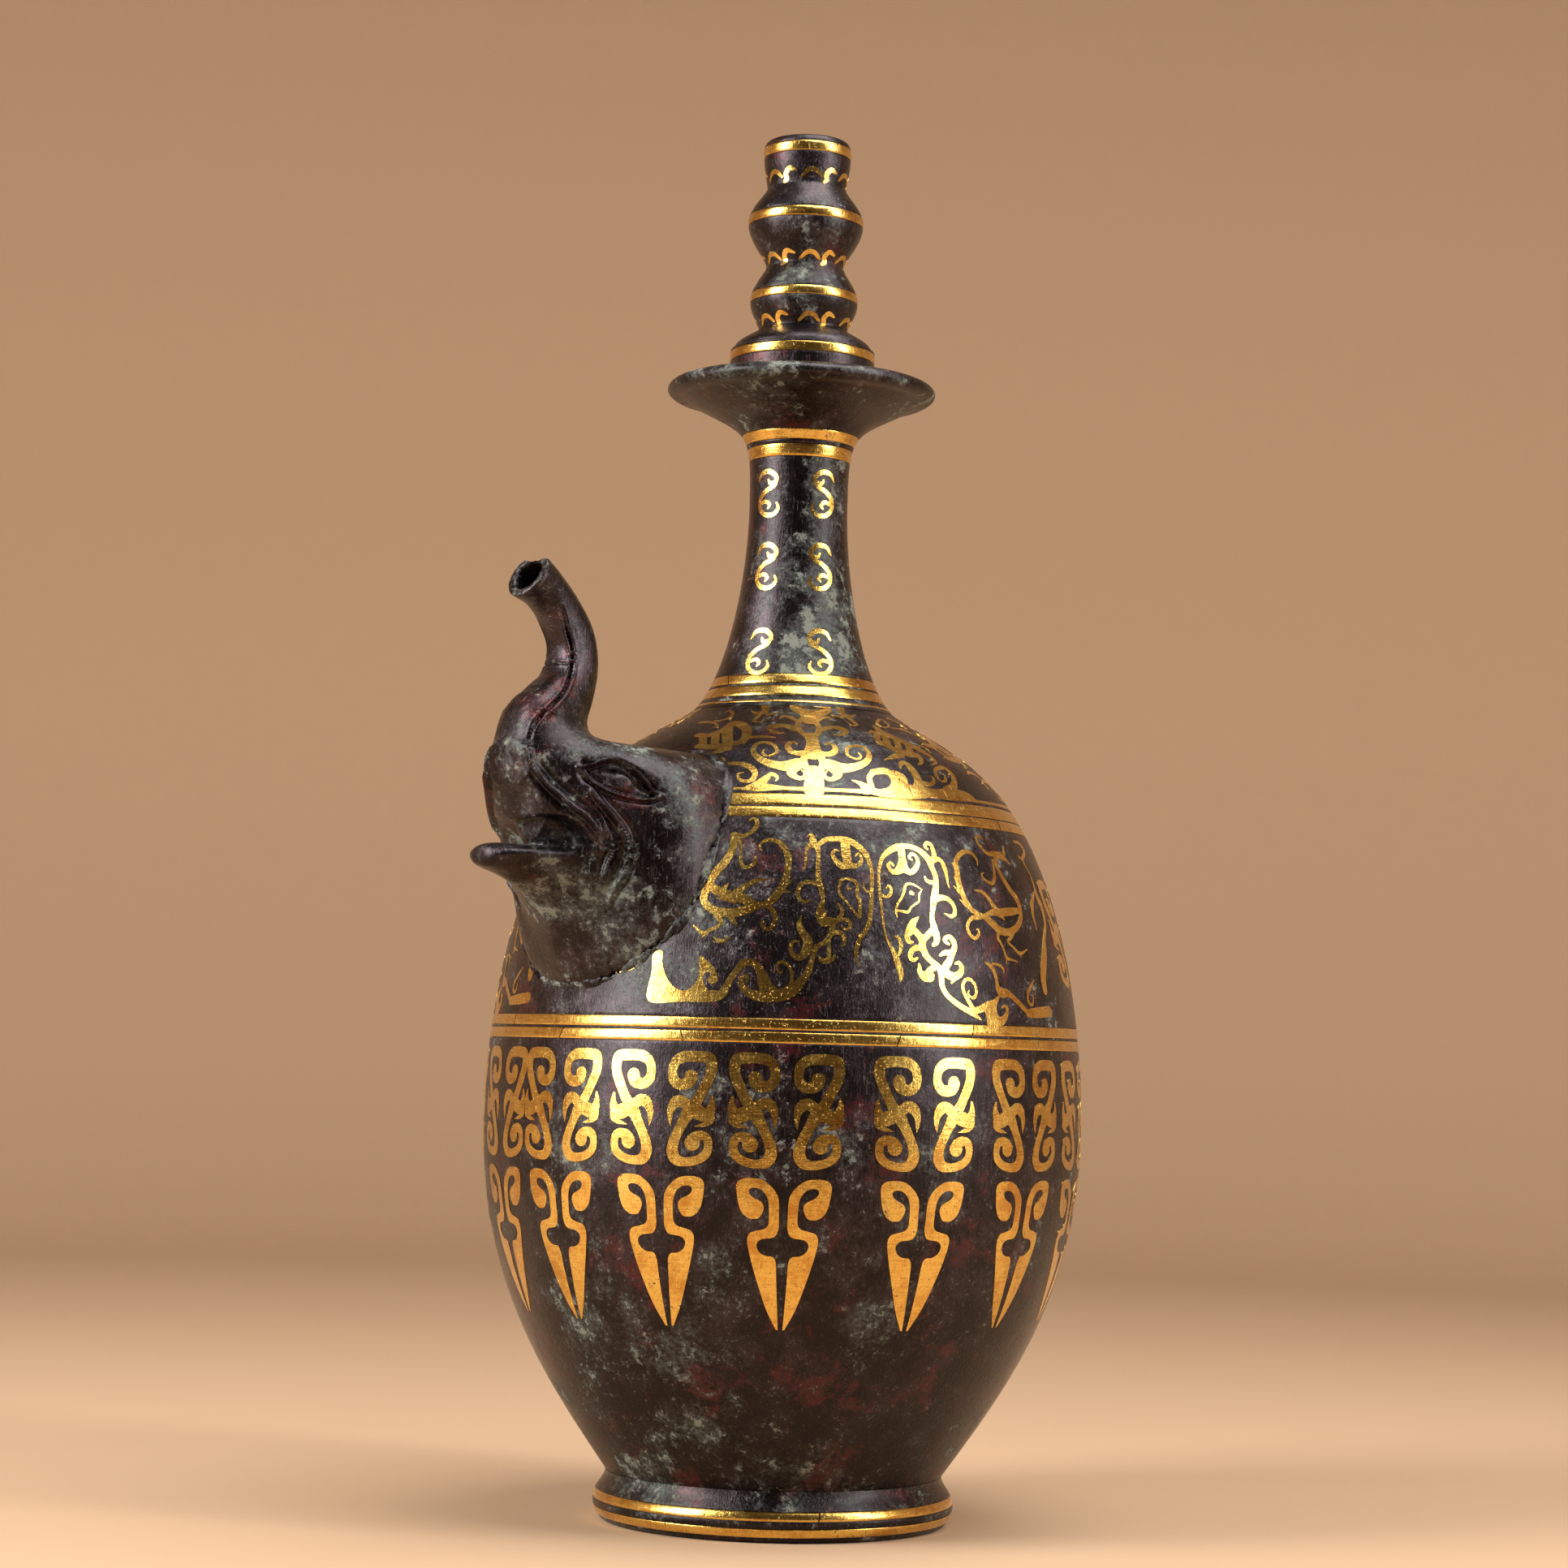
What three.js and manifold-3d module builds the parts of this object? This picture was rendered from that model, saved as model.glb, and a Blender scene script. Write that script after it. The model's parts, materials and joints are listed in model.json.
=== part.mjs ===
// Bronze wine pot: an ovoid body on a moulded foot, a long neck with a saucer mouth,
// a turned stopper, and a pouring spout cast as an elephant's head with its trunk raised.
// Millimetres, +Z up. The origin is on the pot's axis, in the flat underside of the foot,
// and the elephant's head looks along -X.

import * as THREE from 'three';
import { mergeVertices } from 'three/addons/utils/BufferGeometryUtils.js';
import Module from 'manifold-3d';

const wasm = await Module();
wasm.setup();

// Casting walls and the gap kept between pieces that touch
const WALL = 3.2;
const CLEARANCE = 0.3;

// Foot
const FOOT_HEIGHT = 13;
const FOOT_REST_RADIUS = 46.5;
const FOOT_BEAD_RADIUS = 48.9;
const FOOT_BEAD_HEIGHT = 5.5;
const FOOT_WAIST_RADIUS = 45.6;
const FOOT_BORE_RADIUS = 38;
const BASE_PLATE_THICKNESS = 3;

// Body: from the waist above the foot, out to the belly and in to the neck joint
const BELLY_RADIUS = 81.5;
const BELLY_RISE = 94;
const SHOULDER_RISE = 89.7;
const SHOULDER_RADIUS = 58.3;
const COLLAR_RISE = 22.3;
const NECK_ROOT_RADIUS = 28.2;
// The hole behind the spout, above the mouth line of the elephant's head
const HOLE_RADIUS = 13;
const HOLE_RISE = 5;
const HOLE_SIDES = 20;

// Neck: from the joint up to its narrowest ring, then out to the saucer
const NECK_RADIUS = 13.6;
const NECK_RISE = 58;
const NECK_BORE_RADIUS = 10.4;
const NECK_BORE_DROP = 17.4;
const SPIGOT_DEPTH = 6;
const SPIGOT_WALL = 3.2;
const SAUCER_RISE = 29.7;
const SAUCER_RADIUS = 37.2;
const SAUCER_EDGE = 4.9;
const SAUCER_SINK = 2.2;
const SEAT_MARGIN = 3;

// Stopper: a plug, a drum that rests in the saucer, and three turned bulbs
const PLUG_LENGTH = 22;
const PLUG_CHAMFER = 1.2;
const DRUM_RADIUS = 20.1;
const DRUM_HEIGHT = 11.2;
const DRUM_CHAMFER = 0.3;
const BULB_STEPS = [
  { rise: 5.7, radius: 12.2 },
  { rise: 8.0, radius: 15.0 },
  { rise: 9.9, radius: 10.6 },
  { rise: 12.3, radius: 16.05 },
  { rise: 9.8, radius: 10.9 },
  { rise: 8.7, radius: 12.1 },
];
const BULB_FULLNESS = 1.3;
const BULB_FACETS = 5;
const CROWN_RISE = 4.5;
const CROWN_RADIUS = 10.8;
const CROWN_ROUNDING = 0.9;

// Gold bands, let flush into beds cut in the bronze
const GOLD_THICKNESS = 0.7;
const FOOT_BAND_WIDTH = 2.6;
const BELLY_BAND_WIDTH = 2.5;
const SHOULDER_BAND_WIDTH = 3.2;
const NECK_BAND_WIDTH = 2.9;
const STOPPER_BAND_WIDTH = 2.6;
// Middles of the bands: above the table, the belly and the neck joint, and below the shoulder and the saucer
const FOOT_BAND_RISES = { lower: 2.3, upper: 6.8 };
const BELLY_BAND_RISES = { lower: 22.8, upper: 26.2 };
const SHOULDER_BAND_DROPS = { lower: 8.7, upper: 5.4 };
const NECK_FOOT_BAND_RISES = { lower: 4.6, upper: 8.0 };
const NECK_TOP_BAND_DROPS = { lower: 15.7, upper: 11.5 };
// Middles of the stopper's bands, from the end of a bulb step; step 0 is the top of the drum
const STOPPER_BANDS = [
  { name: 'stopper_band_drum', step: 0, rise: -2.2 },
  { name: 'stopper_band_lower', step: 2, rise: 0.9 },
  { name: 'stopper_band_upper', step: 4, rise: 0.5 },
  { name: 'stopper_band_crown', step: 6, rise: 1.2 },
];

// Elephant's head: reach is measured outward from the belly's radius, heights from the mouth line,
// and square and under say how square the upper and the lower half of a section are
const MOUTH_DROP = 19.7;
const HEAD_WALL = 3;
const TRUNK_WALL = 2.2;
const HEAD_SECTIONS = [
  { reach: -40, top: 27.4, bottom: -32.0, half: 32.6, widest: -10, square: 3.4, under: 2.2 },
  { reach: -20, top: 27.8, bottom: -35.5, half: 33.2, widest: -10, square: 3.4, under: 2.2 },
  { reach: -11, top: 28.0, bottom: -36.3, half: 31.2, widest: -6, square: 3.4, under: 2.4 },
  { reach: -4, top: 28.6, bottom: -36.0, half: 26.0, widest: 2, square: 3.2, under: 2.4 },
  { reach: 1, top: 29.4, bottom: -29.6, half: 23.2, widest: 6, square: 3.0, under: 1.6 },
  { reach: 6, top: 30.0, bottom: -20.2, half: 20.6, widest: 8, square: 3.0, under: 1.5 },
  { reach: 11, top: 30.0, bottom: -12.0, half: 17.0, widest: 12, square: 3.0, under: 1.7 },
  { reach: 16, top: 28.0, bottom: 0, half: 12.5, widest: 16, square: 3.0, under: 1.7 },
  { reach: 20.5, top: 25.0, bottom: 15.0, half: 8.0, widest: 20, square: 3.0, under: 1.7 },
];
const LIP_SECTIONS = [
  { reach: -12, top: 0, bottom: -20, half: 20.0, widest: -6, square: 3.4, under: 1.7 },
  { reach: 3, top: 0, bottom: -13.4, half: 16.0, widest: -4, square: 3.4, under: 1.7 },
  { reach: 13, top: 0, bottom: -7.8, half: 12.0, widest: -2.5, square: 3.4, under: 1.7 },
  { reach: 21, top: -0.6, bottom: -5.2, half: 8.8, widest: -2.6, square: 3.4, under: 1.7 },
  { reach: 26, top: -1.4, bottom: -4.2, half: 5.4, widest: -2.8, square: 3.4, under: 1.7 },
  { reach: 28, top: -2.2, bottom: -3.4, half: 2.0, widest: -2.8, square: 3.4, under: 1.7 },
];
// Side view of the open mouth, from the back of the mouth up along the upper lip
const MOUTH_OUTLINE = [
  { reach: 2, rise: 0 },
  { reach: 3.7, rise: 3.5 },
  { reach: 6.3, rise: 8.5 },
  { reach: 12.6, rise: 14.5 },
  { reach: 17, rise: 18 },
  { reach: 23, rise: 21.5 },
];
// Middle line of the trunk, with its half-depth in the side view and its half-width
const TRUNK_SECTIONS = [
  { reach: 3, rise: 14, depth: 8.0, half: 9.5 },
  { reach: 8.2, rise: 22.5, depth: 12.4, half: 11.0 },
  { reach: 8.4, rise: 30, depth: 12.2, half: 9.6 },
  { reach: 5.4, rise: 36, depth: 9.6, half: 7.8 },
  { reach: 1.6, rise: 42, depth: 7.4, half: 6.8 },
  { reach: -0.2, rise: 48.5, depth: 6.4, half: 6.4 },
  { reach: 0.9, rise: 55.5, depth: 5.9, half: 6.0 },
  { reach: 5.4, rise: 62, depth: 5.6, half: 5.8 },
  { reach: 11.0, rise: 66.9, depth: 5.9, half: 6.0 },
  { reach: 16.6, rise: 70.1, depth: 6.8, half: 6.8 },
];
const TIP_SLOPE = 0.35;
const TRUNK_FRONT_SQUARENESS = 2.8;

// Facets of the model
const BODY_SIDES = 40;
const SLIM_SIDES = 26;
const CURVE_STEPS = 8;
const HEAD_RING_POINTS = 20;
const TRUNK_RING_POINTS = 14;

// Heights above the table that follow from the driving sizes
const bellyHeight = FOOT_HEIGHT + BELLY_RISE;
const shoulderHeight = bellyHeight + SHOULDER_RISE;
const jointHeight = shoulderHeight + COLLAR_RISE;
const neckWaistHeight = jointHeight + NECK_RISE;
const saucerHeight = neckWaistHeight + SAUCER_RISE;
const rimHeight = saucerHeight + SAUCER_EDGE;
const seatHeight = rimHeight - SAUCER_SINK;
const bodyMouthRadius = NECK_ROOT_RADIUS - WALL;
const drumBottom = seatHeight + CLEARANCE;
const drumTop = drumBottom + DRUM_HEIGHT;
const bedDepth = GOLD_THICKNESS + CLEARANCE;
const mouthHeight = shoulderHeight - MOUTH_DROP;

const bronze = () => new THREE.MeshStandardMaterial({ color: 0x2e2124, roughness: 0.38, metalness: 0.9 });
const gold = () => new THREE.MeshStandardMaterial({ color: 0xc9942f, roughness: 0.32, metalness: 1 });

const vec2 = (x, y) => new THREE.Vector2(x, y);

// Outline curves: x is the radius, y the height
const lowerBody = new THREE.CubicBezierCurve(
  vec2(FOOT_WAIST_RADIUS, FOOT_HEIGHT),
  vec2(FOOT_WAIST_RADIUS + 0.52 * (BELLY_RADIUS - FOOT_WAIST_RADIUS), FOOT_HEIGHT + 0.277 * BELLY_RISE),
  vec2(BELLY_RADIUS, bellyHeight - 0.46 * BELLY_RISE),
  vec2(BELLY_RADIUS, bellyHeight),
);
const shoulderSlope = vec2(-0.637, 0.771);
const shoulderPoint = vec2(SHOULDER_RADIUS, shoulderHeight);
const upperBody = new THREE.CubicBezierCurve(
  vec2(BELLY_RADIUS, bellyHeight),
  vec2(BELLY_RADIUS, bellyHeight + 0.444 * SHOULDER_RISE),
  shoulderPoint.clone().addScaledVector(shoulderSlope, -0.22 * SHOULDER_RISE),
  shoulderPoint,
);
const collar = new THREE.CubicBezierCurve(
  shoulderPoint,
  shoulderPoint.clone().addScaledVector(shoulderSlope, 0.74 * COLLAR_RISE),
  vec2(NECK_ROOT_RADIUS + 0.26 * (SHOULDER_RADIUS - NECK_ROOT_RADIUS), jointHeight - 0.244 * COLLAR_RISE),
  vec2(NECK_ROOT_RADIUS, jointHeight),
);
const neckTaper = new THREE.CubicBezierCurve(
  vec2(NECK_ROOT_RADIUS, jointHeight),
  vec2(NECK_ROOT_RADIUS - 0.6 * (NECK_ROOT_RADIUS - NECK_RADIUS), jointHeight + 0.128 * NECK_RISE),
  vec2(NECK_RADIUS, neckWaistHeight - 0.382 * NECK_RISE),
  vec2(NECK_RADIUS, neckWaistHeight),
);
const saucerRadiusBelow = SAUCER_RADIUS - 0.86 * SAUCER_EDGE;
const neckFlare = new THREE.CubicBezierCurve(
  vec2(NECK_RADIUS, neckWaistHeight),
  vec2(NECK_RADIUS, neckWaistHeight + 0.758 * SAUCER_RISE),
  vec2(saucerRadiusBelow - 0.954 * (saucerRadiusBelow - NECK_RADIUS), saucerHeight - 0.326 * SAUCER_RISE),
  vec2(saucerRadiusBelow, saucerHeight),
);
const footBead = new THREE.CatmullRomCurve3([
  new THREE.Vector3(FOOT_REST_RADIUS, 0, 0),
  new THREE.Vector3(FOOT_BEAD_RADIUS, FOOT_BEAD_HEIGHT, 0),
  new THREE.Vector3((FOOT_BEAD_RADIUS + FOOT_WAIST_RADIUS) / 2, (FOOT_BEAD_HEIGHT + FOOT_HEIGHT) / 2, 0),
  new THREE.Vector3(FOOT_WAIST_RADIUS, FOOT_HEIGHT - CLEARANCE, 0),
]);

// The stopper's bulbs: each step swells from a waist to a bulb, full at the bulb and tight at the waist
function bulbOutline() {
  const points = [];
  let low = { height: drumTop, radius: DRUM_RADIUS - DRUM_CHAMFER };
  for (const step of BULB_STEPS) {
    const high = { height: low.height + step.rise, radius: step.radius };
    const swelling = high.radius > low.radius;
    const waist = Math.min(low.radius, high.radius);
    const bulge = Math.abs(high.radius - low.radius);
    for (let i = 1; i <= BULB_FACETS; i += 1) {
      const share = i / BULB_FACETS;
      const fromWaist = swelling ? share : 1 - share;
      const swell = Math.sin(fromWaist * Math.PI / 2) ** BULB_FULLNESS;
      points.push(vec2(waist + bulge * swell, low.height + share * step.rise));
    }
    low = high;
  }
  return points;
}
const bulbs = bulbOutline();
const topOfBulbs = bulbs[bulbs.length - 1].y;
const crownHeight = topOfBulbs + CROWN_RISE;
const stepTop = (count) => drumTop + BULB_STEPS.slice(0, count).reduce((sum, step) => sum + step.rise, 0);

// An outline as a polyline with lookups by height; heights rise along it
class Outline {
  constructor(points) {
    this.points = points;
  }

  static fromCurve(curve, steps) {
    return new Outline(curve.getSpacedPoints(steps).map((p) => vec2(p.x, p.y)));
  }

  at(height) {
    const { points } = this;
    let i = 1;
    while (i < points.length - 1 && points[i].y < height) i += 1;
    const [a, b] = [points[i - 1], points[i]];
    const share = (height - a.y) / (b.y - a.y);
    return { point: a.clone().lerp(b, share), tangent: b.clone().sub(a).normalize() };
  }

  // The point at a height, moved along the outline by `along` and into the metal by `inward`
  shifted(height, along, inward) {
    const { point, tangent } = this.at(height);
    const normal = vec2(tangent.y, -tangent.x);
    return point.addScaledVector(tangent, along).addScaledVector(normal, -inward);
  }

  // The outline with a bed cut for each band; points that would crowd a bed's edges are left out
  withBeds(bands) {
    const crowding = 0.2;
    const beds = bands.map(({ height, width }) => {
      const reach = width / 2 + CLEARANCE;
      return [
        this.shifted(height, -reach, 0),
        this.shifted(height, -reach, bedDepth),
        this.shifted(height, reach, bedDepth),
        this.shifted(height, reach, 0),
      ];
    });
    const inBed = ({ y }) => beds.some((bed) => y > bed[0].y - crowding && y < bed[3].y + crowding);
    const result = this.points.filter((point) => !inBed(point)).map((point) => point.clone());
    for (const bed of beds) {
      const index = result.findIndex((point) => point.y > bed[3].y);
      result.splice(index < 0 ? result.length : index, 0, ...bed);
    }
    return result;
  }

  // The closed section of the band that lies in such a bed
  bandSection({ height, width }) {
    return [
      this.shifted(height, -width / 2, 0),
      this.shifted(height, width / 2, 0),
      this.shifted(height, width / 2, GOLD_THICKNESS),
      this.shifted(height, -width / 2, GOLD_THICKNESS),
    ];
  }
}

// The outline moved along its normals, outward for a positive distance
function offsetPoints(points, distance) {
  return points.map((point, i) => {
    const before = points[Math.max(i - 1, 0)];
    const after = points[Math.min(i + 1, points.length - 1)];
    const tangent = after.clone().sub(before).normalize();
    return point.clone().add(vec2(tangent.y, -tangent.x).multiplyScalar(distance));
  });
}

// A closed mesh with merged vertices, no collapsed triangles and its faces pointing out
function closedGeometry(source) {
  source.deleteAttribute('normal');
  source.deleteAttribute('uv');
  const merged = mergeVertices(source, 1e-4);
  const position = merged.getAttribute('position');
  const kept = [];
  const index = merged.getIndex().array;
  for (let i = 0; i < index.length; i += 3) {
    const [a, b, c] = [index[i], index[i + 1], index[i + 2]];
    if (a !== b && b !== c && c !== a) kept.push(a, b, c);
  }
  const corner = (i) => new THREE.Vector3().fromBufferAttribute(position, i);
  let volume = 0;
  for (let i = 0; i < kept.length; i += 3) {
    volume += corner(kept[i]).dot(corner(kept[i + 1]).cross(corner(kept[i + 2])));
  }
  if (volume < 0) kept.reverse();
  const geometry = new THREE.BufferGeometry();
  geometry.setAttribute('position', position);
  geometry.setIndex(kept);
  return geometry;
}

// A turned solid about the Z axis; the section is closed on itself or ends on the axis
function turned(section, sides) {
  const points = section.map((p) => vec2(Math.max(p.x, 0), p.y));
  const last = points[points.length - 1];
  const open = points[0].distanceTo(last) > 1e-6;
  const onAxis = points[0].x === 0 && last.x === 0;
  if (open && !onAxis) points.push(points[0].clone());
  const lathe = new THREE.LatheGeometry(points, sides);
  lathe.rotateX(Math.PI / 2);
  return closedGeometry(lathe);
}

// A solid skinned over rings that have the same number of points
function lofted(rings) {
  const count = rings[0].length;
  const vertices = rings.flat().flatMap((p) => [p.x, p.y, p.z]);
  const faces = [];
  for (let r = 0; r < rings.length - 1; r += 1) {
    for (let i = 0; i < count; i += 1) {
      const a = r * count + i;
      const b = r * count + ((i + 1) % count);
      faces.push(a, b, a + count, b, b + count, a + count);
    }
  }
  const lastRing = (rings.length - 1) * count;
  for (let i = 1; i < count - 1; i += 1) {
    faces.push(0, i + 1, i);
    faces.push(lastRing, lastRing + i, lastRing + i + 1);
  }
  const geometry = new THREE.BufferGeometry();
  geometry.setAttribute('position', new THREE.Float32BufferAttribute(vertices, 3));
  geometry.setIndex(faces);
  return closedGeometry(geometry);
}

function solidFrom(geometry) {
  return new wasm.Manifold(new wasm.Mesh({
    numProp: 3,
    vertProperties: new Float32Array(geometry.getAttribute('position').array),
    triVerts: new Uint32Array(geometry.getIndex().array),
  }));
}

function geometryFrom(solid) {
  const mesh = solid.getMesh();
  const geometry = new THREE.BufferGeometry();
  geometry.setAttribute('position', new THREE.Float32BufferAttribute(mesh.vertProperties, 3));
  geometry.setIndex(Array.from(mesh.triVerts));
  return geometry;
}

function named(name, geometry, material) {
  geometry.computeVertexNormals();
  const mesh = new THREE.Mesh(geometry, material);
  mesh.name = name;
  return mesh;
}

const footOutline = Outline.fromCurve(footBead, CURVE_STEPS);
const bodyOutline = new Outline([
  ...lowerBody.getSpacedPoints(CURVE_STEPS).slice(0, -1),
  ...upperBody.getSpacedPoints(CURVE_STEPS).slice(0, -1),
  ...collar.getSpacedPoints(CURVE_STEPS - 2),
]);
const neckOutline = new Outline([
  ...neckTaper.getSpacedPoints(CURVE_STEPS).slice(0, -1),
  ...neckFlare.getSpacedPoints(CURVE_STEPS),
]);

// Head sections: a rounded shield in a plane across X
function headRing(section, inset, count) {
  const x = -(BELLY_RADIUS + section.reach);
  const half = section.half - inset;
  const ring = [];
  for (let i = 0; i < count; i += 1) {
    const turn = i / count * Math.PI * 2;
    const above = Math.sin(turn) > 0;
    const power = 2 / (above ? section.square : section.under);
    const side = Math.sign(Math.cos(turn)) * Math.abs(Math.cos(turn)) ** power;
    const up = Math.abs(Math.sin(turn)) ** power;
    const tall = above ? section.top - inset - section.widest : section.bottom + inset - section.widest;
    ring.push(new THREE.Vector3(x, half * side, mouthHeight + section.widest + tall * up));
  }
  return ring;
}

// Trunk sections: an oval across the trunk's middle line, with a squarer front
function trunkRing(sections, index, inset, count) {
  const here = sections[index];
  const before = sections[Math.max(index - 1, 0)];
  const after = sections[Math.min(index + 1, sections.length - 1)];
  const along = vec2(after.reach - before.reach, after.rise - before.rise).normalize();
  if (index >= TRUNK_SECTIONS.length - 1) along.set(Math.cos(TIP_SLOPE), Math.sin(TIP_SLOPE));
  const forward = vec2(along.y, -along.x);
  const ring = [];
  for (let i = 0; i < count; i += 1) {
    const turn = i / count * Math.PI * 2;
    const power = 2 / (Math.cos(turn) > 0 ? TRUNK_FRONT_SQUARENESS : 2);
    const ahead = Math.sign(Math.cos(turn)) * Math.abs(Math.cos(turn)) ** power;
    const aside = Math.sign(Math.sin(turn)) * Math.abs(Math.sin(turn)) ** power;
    const depth = (here.depth - inset) * ahead;
    ring.push(new THREE.Vector3(
      -(BELLY_RADIUS + here.reach + forward.x * depth),
      (here.half - inset) * aside,
      mouthHeight + here.rise + forward.y * depth,
    ));
  }
  return ring;
}

function trunkSolid(sections, inset) {
  return solidFrom(lofted(sections.map((_, i) => trunkRing(sections, i, inset, TRUNK_RING_POINTS))));
}

// The trunk's bore runs on past the tip, so that it cuts the tip open
function trunkBore() {
  const [beforeTip, tip] = TRUNK_SECTIONS.slice(-2);
  const beyond = {
    ...tip,
    reach: tip.reach + (tip.reach - beforeTip.reach) / 2,
    rise: tip.rise + (tip.rise - beforeTip.rise) / 2,
  };
  return trunkSolid([...TRUNK_SECTIONS, beyond], TRUNK_WALL);
}

// The cutter for the open mouth: its side view, run out past the lip and across the whole head
function mouthCut() {
  const beyondLip = 2 * LIP_SECTIONS[LIP_SECTIONS.length - 1].reach;
  const width = 3 * HEAD_SECTIONS[0].half;
  const [corner, ...upperLip] = MOUTH_OUTLINE;
  const shape = new THREE.Shape();
  shape.moveTo(corner.reach, corner.rise);
  for (const point of upperLip) shape.lineTo(point.reach, point.rise);
  shape.lineTo(beyondLip, upperLip[upperLip.length - 1].rise);
  shape.lineTo(beyondLip, corner.rise);
  const slab = new THREE.ExtrudeGeometry(shape, { depth: width, bevelEnabled: false });
  slab.translate(0, 0, -width / 2);
  // the shape's x runs outward along -X and its y runs up
  slab.applyMatrix4(new THREE.Matrix4().set(
    -1, 0, 0, -BELLY_RADIUS,
    0, 0, 1, 0,
    0, 1, 0, mouthHeight,
    0, 0, 0, 1,
  ));
  return solidFrom(closedGeometry(slab));
}

function headOuter(growth) {
  return solidFrom(lofted(HEAD_SECTIONS.map((s) => headRing(s, -growth, HEAD_RING_POINTS))));
}

// The space that the body fills, grown by the gap that the head keeps to it
function bodySpace() {
  const skin = offsetPoints(bodyOutline.points, CLEARANCE);
  const top = skin[skin.length - 1];
  const bottom = skin[0];
  return solidFrom(turned([vec2(0, bottom.y), ...skin, vec2(0, top.y)], BODY_SIDES));
}

function elephantHead() {
  const skull = headOuter(0).subtract(mouthCut());
  const lip = solidFrom(lofted(LIP_SECTIONS.map((s) => headRing(s, 0, TRUNK_RING_POINTS))));
  // the hollow follows the sections behind the mouth, set back by the head's wall
  const cavitySections = HEAD_SECTIONS.filter((s) => s.reach < MOUTH_OUTLINE[0].reach)
    .map((s) => ({ ...s, reach: s.reach - HEAD_WALL }));
  const cavity = solidFrom(lofted(cavitySections.map((s) => headRing(s, HEAD_WALL, HEAD_RING_POINTS))));
  const solid = skull
    .add(lip)
    .add(trunkSolid(TRUNK_SECTIONS, 0))
    .subtract(cavity)
    .subtract(trunkBore())
    .subtract(bodySpace());
  return named('elephant_head', geometryFrom(solid), bronze());
}

const pair = (name, heights, width) => [
  { name: `${name}_lower`, height: heights.lower, width },
  { name: `${name}_upper`, height: heights.upper, width },
];
const raised = (base, rises) => ({ lower: base + rises.lower, upper: base + rises.upper });
const dropped = (base, drops) => ({ lower: base - drops.lower, upper: base - drops.upper });

const footBands = pair('foot_band', FOOT_BAND_RISES, FOOT_BAND_WIDTH);
const bellyBands = pair('belly_band', raised(bellyHeight, BELLY_BAND_RISES), BELLY_BAND_WIDTH);
const shoulderLines = dropped(shoulderHeight, SHOULDER_BAND_DROPS);
const shoulderBands = pair('shoulder_band', shoulderLines, SHOULDER_BAND_WIDTH);
const neckFootBands = pair('neck_foot_band', raised(jointHeight, NECK_FOOT_BAND_RISES), NECK_BAND_WIDTH);
const neckTopBands = pair('neck_top_band', dropped(saucerHeight, NECK_TOP_BAND_DROPS), NECK_BAND_WIDTH);
const stopperBands = STOPPER_BANDS.map(({ name, step, rise }) => (
  { name, height: stepTop(step) + rise, width: STOPPER_BAND_WIDTH }
));

function footRing() {
  const top = FOOT_HEIGHT - CLEARANCE;
  const section = [
    ...footOutline.withBeds(footBands),
    vec2(FOOT_BORE_RADIUS, top),
    vec2(FOOT_BORE_RADIUS, 0),
  ];
  return named('foot_ring', turned(section, BODY_SIDES), bronze());
}

function basePlate() {
  const radius = FOOT_BORE_RADIUS - CLEARANCE;
  const section = [
    vec2(0, 0),
    vec2(radius, 0),
    vec2(radius, BASE_PLATE_THICKNESS),
    vec2(0, BASE_PLATE_THICKNESS),
  ];
  return named('base_plate', turned(section, BODY_SIDES), bronze());
}

// The body is one casting: a cup that draws in to the neck joint, with a hole behind the spout
function potBody() {
  const floor = FOOT_HEIGHT + WALL;
  const inner = offsetPoints(bodyOutline.points, -WALL)
    .filter((p) => p.x > bodyMouthRadius && p.y > floor)
    .reverse();
  const section = [
    vec2(0, FOOT_HEIGHT),
    ...bodyOutline.withBeds([...bellyBands, ...shoulderBands]),
    vec2(bodyMouthRadius, jointHeight),
    vec2(bodyMouthRadius, inner[0].y),
    ...inner,
    vec2(FOOT_WAIST_RADIUS - WALL, floor),
    vec2(0, floor),
  ];
  const hole = new THREE.CylinderGeometry(HOLE_RADIUS, HOLE_RADIUS, BELLY_RADIUS, HOLE_SIDES);
  hole.rotateZ(Math.PI / 2);
  hole.translate(-BELLY_RADIUS, 0, mouthHeight + HOLE_RISE);
  const solid = solidFrom(turned(section, BODY_SIDES)).subtract(solidFrom(closedGeometry(hole)));
  return named('pot_body', geometryFrom(solid), bronze());
}

// The saucer's edge in section, rounded from its underside to its rim
function saucerEdge() {
  const middle = saucerHeight + SAUCER_EDGE / 2;
  const points = [];
  for (let i = 1; i <= 3; i += 1) {
    const turn = -Math.PI / 2 + i * Math.PI / 4;
    const radius = saucerRadiusBelow + (SAUCER_RADIUS - saucerRadiusBelow) * Math.cos(turn);
    points.push(vec2(radius, middle + SAUCER_EDGE / 2 * Math.sin(turn)));
  }
  points.push(vec2(saucerRadiusBelow, rimHeight));
  return points;
}

// The neck stands on the body, and its spigot drops into the body's mouth
function neck() {
  const outer = neckOutline.withBeds([...neckFootBands, ...neckTopBands]);
  outer[0] = vec2(NECK_ROOT_RADIUS, jointHeight + CLEARANCE);
  const spigotRadius = bodyMouthRadius - CLEARANCE;
  const spigotBottom = jointHeight - SPIGOT_DEPTH;
  const section = [
    vec2(spigotRadius - SPIGOT_WALL, spigotBottom),
    vec2(spigotRadius, spigotBottom),
    vec2(spigotRadius, jointHeight + CLEARANCE),
    ...outer,
    ...saucerEdge(),
    vec2(DRUM_RADIUS + SEAT_MARGIN, seatHeight),
    vec2(NECK_BORE_RADIUS, seatHeight),
    vec2(NECK_BORE_RADIUS, neckWaistHeight - NECK_BORE_DROP),
  ];
  return named('neck', turned(section, SLIM_SIDES), bronze());
}

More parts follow.
